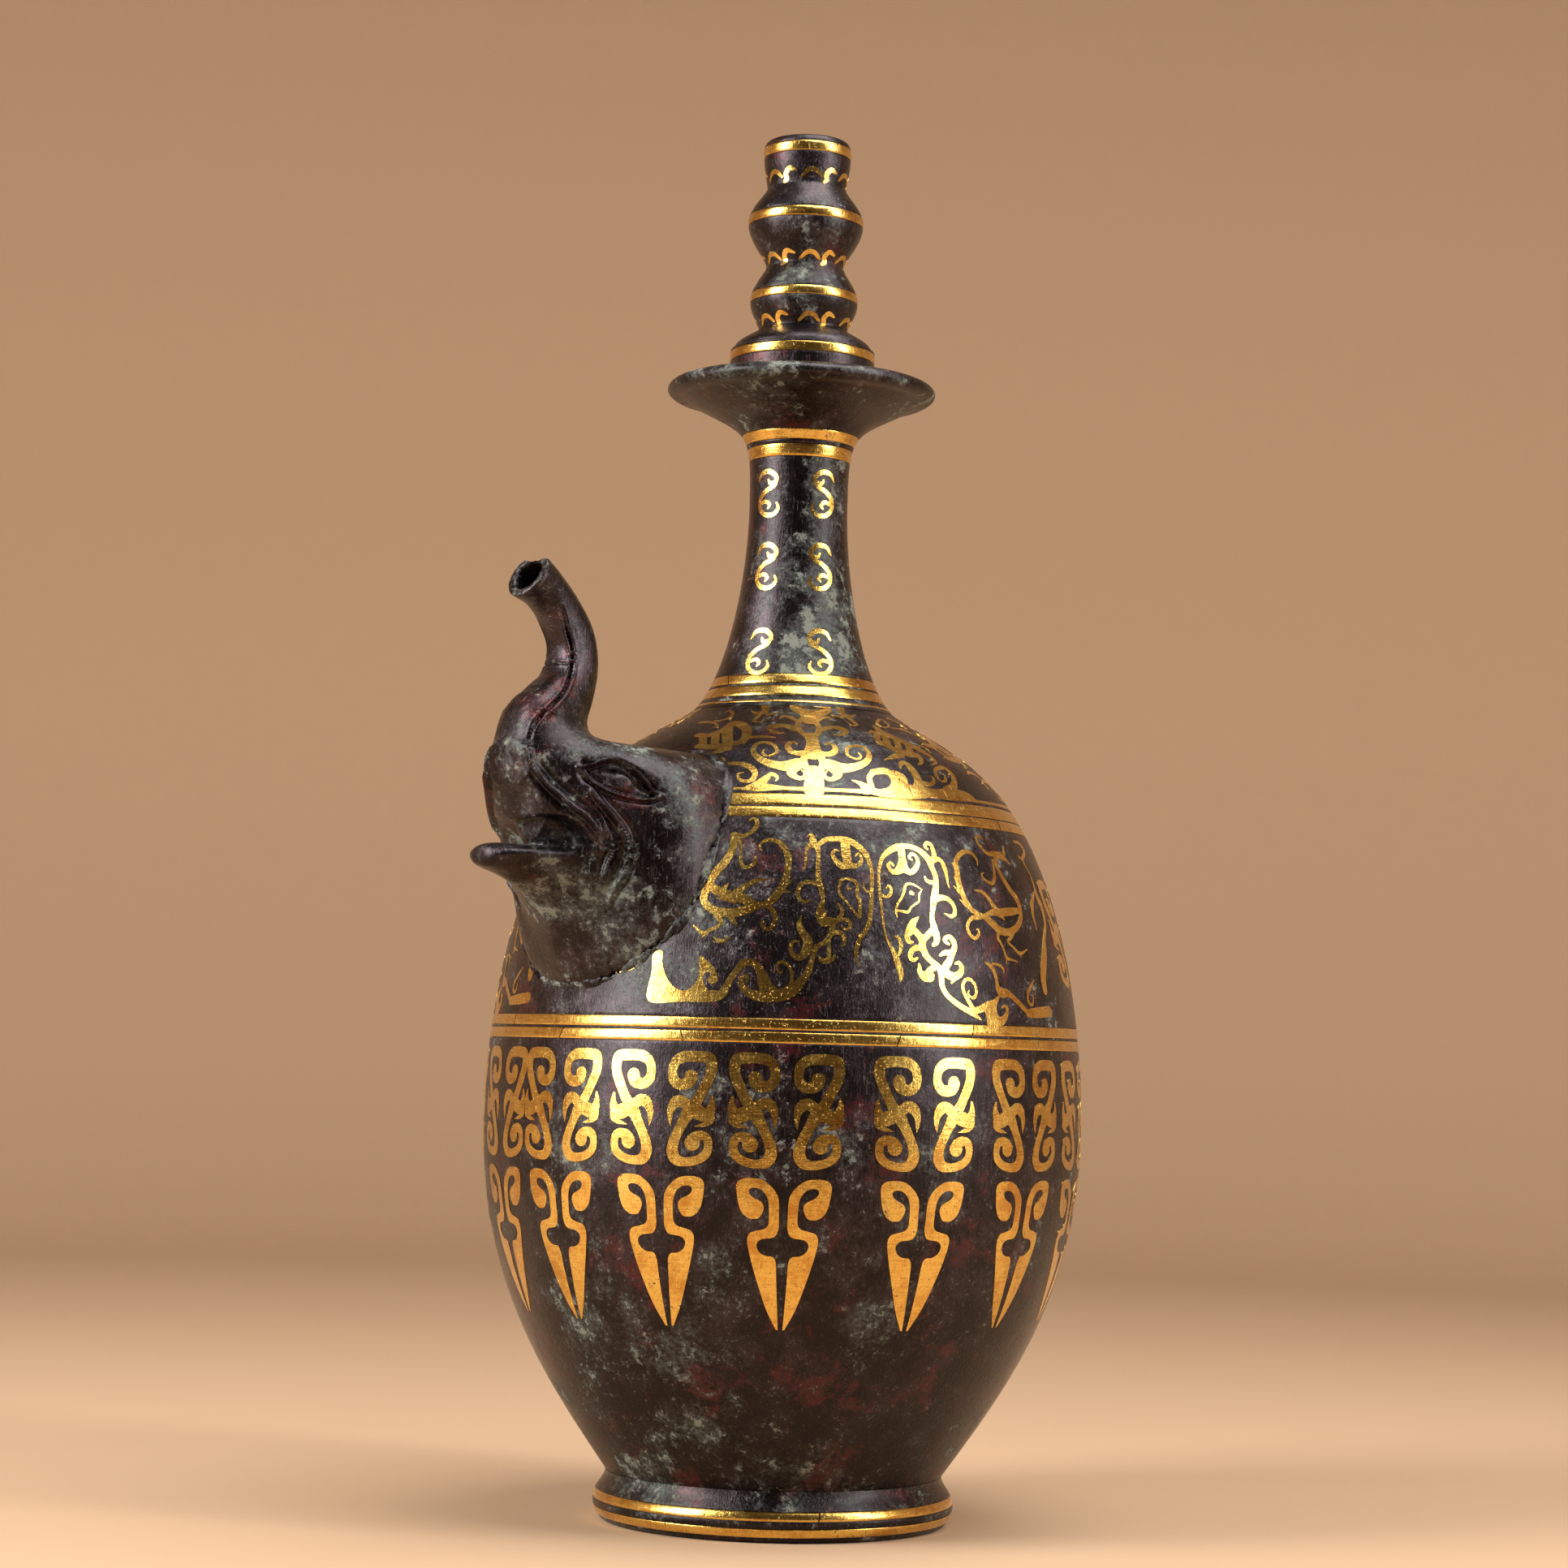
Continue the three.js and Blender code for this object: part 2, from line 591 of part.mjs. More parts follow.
// The stopper's outline, from the drum's underside up to the crown
const lastBulb = bulbs[bulbs.length - 1];
const stopperOutline = new Outline([
  vec2(DRUM_RADIUS, drumBottom),
  vec2(DRUM_RADIUS, drumTop - DRUM_CHAMFER),
  ...bulbs,
  vec2((lastBulb.x + CROWN_RADIUS + CROWN_ROUNDING) / 2, crownHeight - CROWN_ROUNDING),
  vec2(CROWN_RADIUS, crownHeight),
]);

function stopper() {
  const plugRadius = NECK_BORE_RADIUS - CLEARANCE;
  const plugBottom = drumBottom - PLUG_LENGTH;
  const section = [
    vec2(0, plugBottom),
    vec2(plugRadius - PLUG_CHAMFER, plugBottom),
    vec2(plugRadius, plugBottom + PLUG_CHAMFER),
    vec2(plugRadius, drumBottom),
    ...stopperOutline.withBeds(stopperBands),
    vec2(0, crownHeight),
  ];
  return named('stopper', turned(section, SLIM_SIDES), bronze());
}

const goldBands = (outline, bands, sides) => bands.map((band) => (
  named(band.name, turned(outline.bandSection(band), sides), gold())
));

// The shoulder bands stop at the head's edge
function shoulderRings() {
  const head = headOuter(CLEARANCE);
  return shoulderBands.map((band) => {
    const ring = solidFrom(turned(bodyOutline.bandSection(band), BODY_SIDES));
    return named(band.name, geometryFrom(ring.subtract(head)), gold());
  });
}

const vessel = new THREE.Group();
vessel.add(
  footRing(),
  basePlate(),
  potBody(),
  neck(),
  elephantHead(),
  ...goldBands(footOutline, footBands, BODY_SIDES),
  ...goldBands(bodyOutline, bellyBands, BODY_SIDES),
  ...shoulderRings(),
  ...goldBands(neckOutline, [...neckFootBands, ...neckTopBands], SLIM_SIDES),
);

const stopperGroup = new THREE.Group();
stopperGroup.add(stopper(), ...goldBands(stopperOutline, stopperBands, SLIM_SIDES));

const winePot = new THREE.Group();
winePot.add(vessel, stopperGroup);

export default winePot;
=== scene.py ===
# %% [markdown]
# # An inlaid bronze wine pot
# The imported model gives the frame: twenty solids at their real size, on two bodies, the vessel and
# its stopper. This script builds the fine surface of the same pieces around that frame, in metres,
# and nothing here moves or resizes them. The work goes from the big turned forms and the finishes to
# the gold that is let into the bronze, then to the elephant's head, and ends with the camera, the
# floor and the lights.

# %% Load the frame
import json
import math

import bmesh
import bpy
import numpy as np
from mathutils import Matrix, Vector
from mathutils.geometry import delaunay_2d_cdt

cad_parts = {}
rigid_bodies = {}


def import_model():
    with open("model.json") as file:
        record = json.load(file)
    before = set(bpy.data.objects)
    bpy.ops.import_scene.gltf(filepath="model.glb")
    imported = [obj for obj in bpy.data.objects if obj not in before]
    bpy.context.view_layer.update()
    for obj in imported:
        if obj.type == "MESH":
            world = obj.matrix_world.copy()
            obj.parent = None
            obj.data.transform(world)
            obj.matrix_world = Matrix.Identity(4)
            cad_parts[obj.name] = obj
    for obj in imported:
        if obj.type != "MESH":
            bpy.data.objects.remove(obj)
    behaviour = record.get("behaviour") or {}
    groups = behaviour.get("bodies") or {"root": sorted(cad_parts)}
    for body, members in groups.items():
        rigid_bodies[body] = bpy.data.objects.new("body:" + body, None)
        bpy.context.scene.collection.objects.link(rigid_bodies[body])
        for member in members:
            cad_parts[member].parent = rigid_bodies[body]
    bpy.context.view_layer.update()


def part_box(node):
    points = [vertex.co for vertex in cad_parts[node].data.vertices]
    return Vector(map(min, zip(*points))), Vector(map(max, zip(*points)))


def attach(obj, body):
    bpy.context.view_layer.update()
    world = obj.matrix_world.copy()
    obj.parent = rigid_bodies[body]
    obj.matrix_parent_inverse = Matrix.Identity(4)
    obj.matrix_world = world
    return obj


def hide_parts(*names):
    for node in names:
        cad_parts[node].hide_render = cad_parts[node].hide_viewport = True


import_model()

MM = 0.001

# %% [markdown]
# ## Sizes
# The driving sizes are the pot's own, in millimetres. The frame is asked for those that it shows, so
# that the fine surface follows the solids, and the rest are written once here.

# %% Sizes read from the frame
foot_height = round(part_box("pot_body")[0].z / MM, 2)
belly_radius = round(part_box("pot_body")[1].y / MM, 2)
joint_height = round(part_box("pot_body")[1].z / MM, 2)
rim_height = round(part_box("neck")[1].z / MM, 2)
saucer_radius = round(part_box("neck")[1].y / MM, 2)
crown_height = round(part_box("stopper")[1].z / MM, 2)
print("foot", foot_height, "belly radius", belly_radius, "joint", joint_height)
print("rim", rim_height, "saucer radius", saucer_radius, "crown", crown_height)

# %% Sizes that shape the curves between them
WALL = 3.2
SEAM = 0.12
FOOT_REST, FOOT_BEAD, FOOT_BEAD_HEIGHT, FOOT_WAIST, FOOT_BORE = 46.5, 48.9, 5.5, 45.6, 38.0
BELLY_RISE, SHOULDER_RISE, SHOULDER_RADIUS = 94.0, 89.7, 58.3
NECK_ROOT, NECK_WAIST, NECK_RISE, NECK_BORE = 28.2, 13.6, 58.0, 10.4
SAUCER_RISE, SAUCER_EDGE, SAUCER_BULGE, SAUCER_SINK = 29.7, 4.9, 0.86, 2.2
DRUM_RADIUS, PLUG_LENGTH = 20.1, 22.0
BULB_STEPS = [(5.7, 12.2), (8.0, 15.0), (9.9, 10.6), (12.3, 16.05), (9.8, 10.9), (8.7, 12.1)]
BULB_FULLNESS, CROWN_RADIUS, CROWN_RISE = 1.3, 10.8, 4.5
belly_height = foot_height + BELLY_RISE
shoulder_height = belly_height + SHOULDER_RISE
neck_waist_height = joint_height + NECK_RISE
saucer_height = neck_waist_height + SAUCER_RISE
under_edge = saucer_radius - SAUCER_BULGE * SAUCER_EDGE
seat_height = rim_height - SAUCER_SINK
drum_top = crown_height - CROWN_RISE - sum(rise for rise, _ in BULB_STEPS)
swellings = [drum_top + sum(rise for rise, _ in BULB_STEPS[:k]) for k in (2, 4, 6)]
print("belly at", belly_height, "shoulder at", shoulder_height, "mm; drum top at", round(drum_top, 2))

# %% [markdown]
# ## Turned forms
# The body was shaped by turning a clay model against a template, so each outline is a few long
# curves. A Bezier curve between two driving sizes draws each of them, and a small class keeps the
# outline as radius against height. It can then tell where a point of the surface lies for any
# height and angle, which is what the gold needs later.
#
# The class also unrolls the surface like a map that keeps shapes: at every height the scale is the
# same along the outline and round it. Ornament is drawn flat on that map and wrapped back, so a
# round end of a stroke stays round on the steep shoulder as well as on the belly.

# %% Curves between two driving sizes
def bezier(start, pull_start, pull_end, end, steps=40):
    t = np.linspace(0, 1, steps + 1)[:, None]
    points = [np.array(p, float) for p in (start, pull_start, pull_end, end)]
    shares = ((1 - t) ** 3, 3 * t * (1 - t) ** 2, 3 * t * t * (1 - t), t ** 3)
    return sum(share * point for share, point in zip(shares, points))


def running_sum(steps):
    return np.concatenate([[0], np.cumsum(steps)])


# %% The outline of a turned form
class Outline:
    """Radius against height, in millimetres, for a form turned about Z."""

    def __init__(self, *curves):
        points = np.concatenate([curve[:-1] for curve in curves] + [curves[-1][-1:]])
        self.radii, self.heights = points[:, 0], points[:, 1]
        along = np.gradient(points, axis=0)
        along /= np.linalg.norm(along, axis=1)[:, None]
        self.leans = np.stack([along[:, 1], -along[:, 0]], axis=1)
        steps = np.linalg.norm(np.diff(points, axis=0), axis=1)
        self.lengths = running_sum(steps)
        self.map_heights = running_sum(steps * 2 / (self.radii[1:] + self.radii[:-1]))

    def radius(self, height):
        return np.interp(height, self.heights, self.radii)

    def normal(self, height):
        out = np.interp(height, self.heights, self.leans[:, 0])
        up = np.interp(height, self.heights, self.leans[:, 1])
        length = np.hypot(out, up)
        return out / length, up / length

    def offset(self, height, lift):
        out, up = self.normal(height)
        return np.stack([self.radius(height) + lift * out, height + lift * up], axis=-1)

    def along(self, height, distance):
        """The height reached by going a distance along the outline from a height."""
        start = np.interp(height, self.heights, self.lengths)
        return np.interp(start + distance, self.lengths, self.heights)

    def place(self, angle, height, lift):
        """Points of the surface in metres, at an angle from +X and a height, lifted off the bronze."""
        section = self.offset(np.asarray(height, float), lift)
        x = section[..., 0] * np.cos(angle)
        y = section[..., 0] * np.sin(angle)
        return np.stack([x, y, section[..., 1]], axis=-1) * MM

    def map_from(self, angle, height):
        return np.stack([angle, np.interp(height, self.heights, self.map_heights)], axis=-1)

    def height_on_map(self, map_height):
        return np.interp(map_height, self.map_heights, self.heights)


# %% [markdown]
# The body swells slowly from the foot, is widest about half way up and runs almost straight over
# the shoulder to the neck. Its three curves share a tangent where they meet, so that no
# highlight shows a kink.

# %% The outline of the body
def body_outline():
    reach = belly_radius - FOOT_WAIST
    slope = np.array([-0.637, 0.771])
    shoulder = np.array([SHOULDER_RADIUS, shoulder_height])
    collar_rise = joint_height - shoulder_height
    draw_in = SHOULDER_RADIUS - NECK_ROOT
    low = bezier(
        (FOOT_WAIST, foot_height),
        (FOOT_WAIST + 0.52 * reach, foot_height + 0.277 * BELLY_RISE),
        (belly_radius, belly_height - 0.46 * BELLY_RISE),
        (belly_radius, belly_height),
    )
    high = bezier(
        (belly_radius, belly_height),
        (belly_radius, belly_height + 0.444 * SHOULDER_RISE),
        shoulder - 0.22 * SHOULDER_RISE * slope,
        shoulder,
    )
    collar = bezier(
        shoulder,
        shoulder + 0.74 * collar_rise * slope,
        (NECK_ROOT + 0.26 * draw_in, joint_height - 0.244 * collar_rise),
        (NECK_ROOT, joint_height),
    )
    return Outline(low, high, collar)


body = body_outline()
print("the body is", round(body.lengths[-1], 1), "mm long along its outline")

# %% [markdown]
# The neck tapers and then opens into the saucer. The foot is a bead under a waist. Both were
# castings of their own, so each has its own outline, and a hair of shadow is left between the
# castings where they were soldered.

# %% The outlines of the neck and the foot
def neck_outline():
    taper = bezier(
        (NECK_ROOT, joint_height),
        (NECK_ROOT - 0.6 * (NECK_ROOT - NECK_WAIST), joint_height + 0.128 * NECK_RISE),
        (NECK_WAIST, neck_waist_height - 0.382 * NECK_RISE),
        (NECK_WAIST, neck_waist_height),
    )
    flare = bezier(
        (NECK_WAIST, neck_waist_height),
        (NECK_WAIST, neck_waist_height + 0.758 * SAUCER_RISE),
        (under_edge - 0.954 * (under_edge - NECK_WAIST), saucer_height - 0.326 * SAUCER_RISE),
        (under_edge, saucer_height),
    )
    return Outline(taper, flare)


def foot_outline():
    low = bezier(
        (FOOT_REST, 0),
        (FOOT_REST + 1.5, 1.2),
        (FOOT_BEAD, FOOT_BEAD_HEIGHT - 2.2),
        (FOOT_BEAD, FOOT_BEAD_HEIGHT),
    )
    high = bezier(
        (FOOT_BEAD, FOOT_BEAD_HEIGHT),
        (FOOT_BEAD, FOOT_BEAD_HEIGHT + 2.6),
        (FOOT_WAIST, foot_height - 2.6),
        (FOOT_WAIST, foot_height - SEAM),
    )
    return Outline(low, high)


neck, foot = neck_outline(), foot_outline()
print("neck from", neck.heights[0], "to", round(neck.heights[-1], 2), "mm; foot", foot.heights[-1])

# %% [markdown]
# The stopper is a drum under bulbs with tight waists, and a crown. The model for it was turned,
# and a turner's tool leaves bulbs full and waists narrow. A sine raised to a power does the
# same with one number for all of them.

# %% The outline of the stopper
def stopper_outline():
    """The drum, the bulbs (full at the swelling and tight at the waist) and the flared crown."""
    height, radius = drum_top, DRUM_RADIUS
    side = np.array([(DRUM_RADIUS, seat_height + SEAM), (DRUM_RADIUS, drum_top - 0.7)])
    corner = bezier(
        (DRUM_RADIUS, drum_top - 0.7),
        (DRUM_RADIUS, drum_top - 0.2),
        (DRUM_RADIUS - 0.3, drum_top - 0.05),
        (DRUM_RADIUS - 0.9, drum_top),
        steps=6,
    )
    curves = [side, corner]
    radius = DRUM_RADIUS - 0.9
    share = np.linspace(0, 1, 25)
    for rise, next_radius in BULB_STEPS:
        from_waist = share if next_radius > radius else 1 - share
        swell = np.sin(from_waist * math.pi / 2) ** BULB_FULLNESS
        radii = min(radius, next_radius) + abs(next_radius - radius) * swell
        curves.append(np.stack([radii, height + share * rise], axis=1))
        height, radius = height + rise, next_radius
    curves.append(bezier(
        (radius, height),
        (radius + 0.25, height + 2.0),
        (radius + 0.1, crown_height - 0.5),
        (CROWN_RADIUS, crown_height),
        steps=16,
    ))
    return Outline(*curves)


stopper = stopper_outline()
print("stopper outline from", round(stopper.heights[0], 2), "to", stopper.heights[-1], "mm")

# %% [markdown]
# A turned piece is one section spun round the axis. Writing the rings of vertices directly keeps the
# mesh even and closed: the section either ends on the axis twice or comes back to its own start.

# %% Turning a section into a mesh
TURNS = 192


def mesh_piece(name, vertices, faces, smooth_angle=40):
    mesh = bpy.data.meshes.new(name)
    mesh.from_pydata(np.asarray(vertices, float).tolist(), [], faces)
    mesh.validate()
    mesh.shade_smooth()
    mesh.set_sharp_from_angle(angle=math.radians(smooth_angle))
    piece = bpy.data.objects.new(name, mesh)
    bpy.context.scene.collection.objects.link(piece)
    return piece


def turned(name, section, turns=TURNS):
    """A closed mesh from a section in (radius, height), going up outside the metal and down inside."""
    angles = np.arange(turns) * 2 * math.pi / turns
    vertices, rings = [], []
    for radius, height in section:
        start = len(vertices)
        if radius < 1e-6:
            vertices.append((0, 0, height * MM))
            rings.append([start] * turns)
            continue
        for angle in angles:
            vertices.append((radius * math.cos(angle) * MM, radius * math.sin(angle) * MM, height * MM))
        rings.append(list(range(start, start + turns)))
    joins = list(zip(rings[:-1], rings[1:]))
    if section[0][0] > 1e-6:
        joins.append((rings[-1], rings[0]))
    faces = []
    for low, high in joins:
        for i in range(turns):
            j = (i + 1) % turns
            corners = [low[i], low[j], high[j], high[i]]
            faces.append([c for k, c in enumerate(corners) if c != corners[k - 1]])
    return mesh_piece(name, vertices, faces)


print(TURNS, "flats round a turned piece, at most", round(2 * math.pi * belly_radius / TURNS, 2), "mm")

# %% [markdown]
# ## Gold bands
# The bands are strips of sheet gold hammered into turned grooves. Each groove is a little wider
# than its strip, which leaves the fine dark line that the photograph shows round the gold. The
# strips were laid end to end, so a band has a few joints where a hair of bronze shows.
#
# Angles in this script are measured as the eye meets them in the photograph: zero faces the camera
# and positive angles lie to its right. The elephant's head is at -45 degrees.

# %% Where the bands lie, and how wide they are
GROOVE_DEPTH = 0.5
GROOVE_MARGIN = 0.13
JOINT_GAP = 0.32
CAMERA_SIDE = math.radians(225)
HEAD_ANGLE = -45
BANDS = {
    "foot_band_lower": (foot, 2.3, 2.5),
    "foot_band_upper": (foot, 6.8, 2.5),
    "belly_band_lower": (body, belly_height + 22.8, 2.7),
    "belly_band_upper": (body, belly_height + 26.2, 2.7),
    "shoulder_band_lower": (body, shoulder_height - 8.7, 3.1),
    "shoulder_band_upper": (body, shoulder_height - 5.4, 3.9),
    "neck_foot_band_lower": (neck, joint_height + 4.6, 3.3),
    "neck_foot_band_upper": (neck, joint_height + 8.0, 2.9),
    "neck_top_band_lower": (neck, saucer_height - 15.7, 3.3),
    "neck_top_band_upper": (neck, saucer_height - 11.5, 2.9),
    "stopper_band_drum": (stopper, drum_top - 2.2, 2.5),
    "stopper_band_lower": (stopper, swellings[0] + 0.9, 2.5),
    "stopper_band_upper": (stopper, swellings[1] + 0.5, 2.7),
    "stopper_band_crown": (stopper, swellings[2] + 1.2, 2.7),
}


def radians_at(angle):
    return CAMERA_SIDE + np.radians(angle)


widths = [width for _, _, width in BANDS.values()]
print(len(BANDS), "bands,", min(widths), "to", max(widths), "mm wide")


# %% Cutting the grooves into an outline
def grooved(outline, step=1.0):
    """The outline as a fine section, with a groove for every band that lies on it."""
    grooves = []
    for owner, height, width in BANDS.values():
        if owner is outline:
            middle = np.interp(height, outline.heights, outline.lengths)
            reach = width / 2 + GROOVE_MARGIN
            grooves.append((middle - reach, middle + reach))
    marks = [(s, 0) for s in np.linspace(0, outline.lengths[-1], int(outline.lengths[-1] / step) + 1)]
    marks = [(s, d) for s, d in marks if not any(a - 0.3 < s < b + 0.3 for a, b in grooves)]
    for a, b in grooves:
        marks += [(a - 0.1, 0), (a, -0.06), (a + 0.01, -GROOVE_DEPTH)]
        marks += [(b - 0.01, -GROOVE_DEPTH), (b, -0.06), (b + 0.1, 0)]
    marks.sort()
    return [outline.offset(np.interp(s, outline.lengths, outline.heights), d) for s, d in marks]


# %% Laying a strip of gold in its groove
def strip_section(width):
    """Across the strip: distance from its middle, and lift off the bronze; the top is slightly domed."""
    half = width / 2
    top = [(-half, -0.05), (-half + 0.12, 0.03), (-half / 2, 0.07), (0, 0.08)]
    mirrored = [(-v, lift) for v, lift in reversed(top[:-1])]
    return [(-half, -GROOVE_DEPTH + 0.05), *top, *mirrored, (half, -GROOVE_DEPTH + 0.05)]


def band_spans(joints, start, end):
    """The strips of a band, each from one (angle, slant) to the next; None is a whole ring."""
    cuts = sorted(joints)
    if start is not None:
        return list(zip([(start, 0)] + cuts, cuts + [(end, 0)]))
    if cuts:
        first_again = (cuts[0][0] + 360, cuts[0][1])
        return list(zip(cuts, cuts[1:] + [first_again]))
    return [None]


# %% A band of one or more strips
def gold_band(name, outline, height, width, joints=(), start=None, end=None):
    """A band as one ring, or as strips that meet at joints given as (angle, slant)."""
    section = strip_section(width)
    heights = [float(outline.along(height, v)) for v, _ in section]
    radius = float(outline.radius(height))
    gap = math.degrees(JOINT_GAP / 2 / radius)
    vertices, faces = [], []
    count = len(section)
    for span in band_spans(joints, start, end):
        first_ring = len(vertices) // count
        if span is None:
            steps, low, high = TURNS, 0, 360
            slants = (0, 0)
        else:
            low, high = span[0][0] + gap, span[1][0] - gap
            slants = (span[0][1], span[1][1])
            steps = max(6, int((high - low) / 360 * TURNS))
        rings = steps if span is None else steps + 1
        for k in range(rings):
            angle = low + (high - low) * k / steps
            from_ends = (math.exp(-k * 0.7), math.exp(-(steps - k) * 0.7))
            slant = slants[0] * from_ends[0] + slants[1] * from_ends[1]
            for (v, lift), at in zip(section, heights):
                turn = radians_at(angle) + slant * v / radius
                vertices.append(outline.place(turn, at, lift))
        for k in range(steps):
            a = (first_ring + k) * count
            b = (first_ring + (k + 1) % rings) * count
            for i in range(count):
                j = (i + 1) % count
                faces.append((a + i, b + i, b + j, a + j))
        if span is not None:
            faces.append(tuple(first_ring * count + i for i in range(count)))
            last = (first_ring + rings - 1) * count
            faces.append(tuple(last + i for i in reversed(range(count))))
    return mesh_piece("gold_" + name, vertices, faces)


# %% [markdown]
# ## Materials
# Shader maths is written as ordinary expressions. A small class wraps one output of a node and
# overloads the operators, and every other node comes from one method of the finish it belongs to.
# Everything that varies is driven by the place on the object, so nothing slides when the camera
# or a body moves.

# %% A wire that reads like a number
class Wire:
    """One output of a node."""

    def __init__(self, finish, socket):
        self.finish, self.socket = finish, socket

    def math(self, operation, *others, clamp=False):
        settings = {"operation": operation, "use_clamp": clamp}
        return self.finish.node("Math", settings, dict(enumerate((self, *others))))

    def __add__(self, other):
        return self.math("ADD", other)

    def __mul__(self, other):
        return self.math("MULTIPLY", other)

    def __sub__(self, other):
        return self.math("SUBTRACT", other)

    def __rsub__(self, other):
        return self * -1 + other

    __radd__, __rmul__ = __add__, __mul__

    def over(self, low, high):
        """0 below the low value and 1 above the high one, with a smooth step between."""
        settings = {"interpolation_type": "SMOOTHSTEP"}
        return self.finish.node("MapRange", settings, {"Value": self, "From Min": low, "From Max": high})


# %% A finish, which makes every other kind of node
class Finish:
    """A material under construction: its shader, and the nodes that feed it."""

    def __init__(self, name):
        self.material = bpy.data.materials.new(name)
        self.material.use_nodes = True
        self.tree = self.material.node_tree
        self.shader = self.tree.nodes["Principled BSDF"]
        self.place = self.node("TexCoord", output="Object")

    def node(self, kind, settings=None, sockets=None, output=0):
        node = self.tree.nodes.new("ShaderNode" + kind)
        for key, value in (settings or {}).items():
            setattr(node, key, value)
        for key, value in (sockets or {}).items():
            self.feed(node.inputs[key], value)
        return Wire(self, node.outputs[output])

    def feed(self, socket, value):
        if isinstance(value, Wire):
            self.tree.links.new(value.socket, socket)
        elif hasattr(socket.default_value, "__len__") and len(value) == 3 and socket.type == "RGBA":
            socket.default_value = (*value, 1)
        else:
            socket.default_value = value

    def noise(self, size, detail=3, roughness=0.55, shift=0, stretch=(1, 1, 1)):
        """Noise whose blotches are about so many millimetres across; shift moves to another patch."""
        scale = [1 / (size * MM * s) for s in stretch]
        sockets = {"Vector": self.place, "Scale": scale, "Location": (shift, shift * 1.7, shift * 0.6)}
        place = self.node("Mapping", {"vector_type": "POINT"}, sockets)
        sockets = {"Vector": place, "Scale": 1, "Detail": detail, "Roughness": roughness}
        return self.node("TexNoise", None, sockets)

    def mix(self, factor, low, high):
        sockets = {0: factor, 6: low, 7: high}
        return self.node("Mix", {"data_type": "RGBA"}, sockets, output=2)

    def relief(self, height, strength=1):
        """A bump from a height in millimetres."""
        sockets = {"Strength": strength, "Distance": MM, "Height": height}
        return self.node("Bump", None, sockets)

    def set(self, **values):
        for key, value in values.items():
            self.feed(self.shader.inputs[key.replace("_", " ")], value)


# %% [markdown]
# The bronze is nearly black-brown under old wax. Its skin has layers: the waxed metal with a lilac
# cast, dark red cuprite where the wax is thin, a grey-green stain that gathers in clouds, and a
# paler crust with loose grains. Each layer is a sum of noises cut off at a level: a coarse noise
# decides where a cloud lies, and finer ones fray its edge. The stain and the crust are rough and
# hardly metallic, so they stay matt inside a highlight, and that makes the surface look old.
# There is more of them near the foot and under the saucer, where no hand rubbed them off.

# %% The bronze
DARK_BRONZE = (0.013, 0.0085, 0.008)
LILAC = (0.054, 0.038, 0.044)
CUPRITE = (0.060, 0.005, 0.006)
VERDIGRIS = (0.052, 0.066, 0.056)
PALE_CRUST = (0.215, 0.23, 0.185)


def bronze_finish(name, green=0.0, red=0.0, low=None, saucer=None):
    """green and red raise or lower the share of each patina; low and saucer add it by height, and low also
    fades the lilac cast towards the foot as painted shade.
    """
    finish = Finish(name)
    clouds = finish.noise(34, detail=2, shift=3)
    blotches = finish.noise(8, detail=4, shift=11)
    specks = finish.noise(1.3, detail=5, roughness=0.7, shift=23)
    clumps = finish.noise(4.5, detail=7, roughness=0.80, shift=71)
    grain = finish.noise(0.45, detail=2, shift=31)
    hairs = finish.noise(0.7, detail=3, shift=41, stretch=(0.5, 0.5, 9))
    scratches = finish.noise(0.5, detail=2, roughness=0.7, shift=61, stretch=(1, 1, 16)).over(0.64, 0.70)
    redness = finish.noise(17, detail=3, shift=57)

    height = finish.node("SeparateXYZ", None, {0: finish.place}, output=2)
    field = clouds * 0.60 + blotches * 0.40
    if low:
        field = field + height.over(low * MM, 0) * 0.03
    if saucer:
        field = field + height.over((saucer - 9) * MM, saucer * MM) * 0.06
    stain = (field * 0.62 + specks * 0.20 + clumps * 0.18).over(0.515 - green, 0.60 - green)
    crust = (field * 0.42 + clumps * 0.58).over(0.565 - green, 0.60 - green)
    dust = (specks * 0.55 + grain * 0.30 + blotches * 0.15).over(0.585, 0.62)
    red_mask = (redness * 0.55 + clumps * 0.45).over(0.55 - red, 0.59 - red)

    lilac_and_painted_shade = (blotches * 0.45 + specks * 0.30 + hairs * 0.25).over(0.42, 0.62)
    # Painted shade: the lilac cast fades over the lowest part of the body, so the metal is darker towards
    # the foot, where the belly turns down away from the lights.
    if low:
        lilac_and_painted_shade = lilac_and_painted_shade * (1 - height.over((low + 25) * MM, 20 * MM) * 0.65)
    metal = finish.mix(lilac_and_painted_shade, DARK_BRONZE, LILAC)
    metal = finish.mix(red_mask * specks.over(0.34, 0.58), metal, CUPRITE)
    colour = finish.mix(stain * specks.over(0.36, 0.60) * 0.8, metal, VERDIGRIS)
    pale = (crust * 0.75 + dust * 0.45 + scratches * 0.12).math("MINIMUM", 1.0)
    colour = finish.mix(pale, colour, PALE_CRUST)
    rough = (stain * 0.45 + crust + dust * 0.6).math("MINIMUM", 1.0)
    finish.set(
        Base_Color=colour,
        Metallic=(0.85 - rough * 0.75) * (1 - red_mask * 0.30),
        Roughness=0.15 + grain * 0.14 + hairs * 0.14 + rough * 0.44 + red_mask * 0.05,
        Normal=finish.relief(
            grain * 0.06 + specks * 0.15 + hairs * 0.07 - scratches * 0.03 + stain * 0.03 + crust * 0.08
            + blotches * 0.16
        ),
        Coat_Weight=0.16 - rough * 0.14,
        Coat_Roughness=0.28,
    )
    return finish.material


# %% [markdown]
# The gold is thin sheet, rubbed down after it was laid. Fine lines from the rubbing run across it,
# small pits show the bronze, and where hands wore it the gold turns brown and dull. Old wax over
# the gold keeps its highlights pale while the metal below stays a deep orange.

# %% The gold
GOLD = (0.86, 0.56, 0.12)
DEEP_GOLD = (0.56, 0.27, 0.035)
WORN_GOLD = (0.13, 0.055, 0.025)


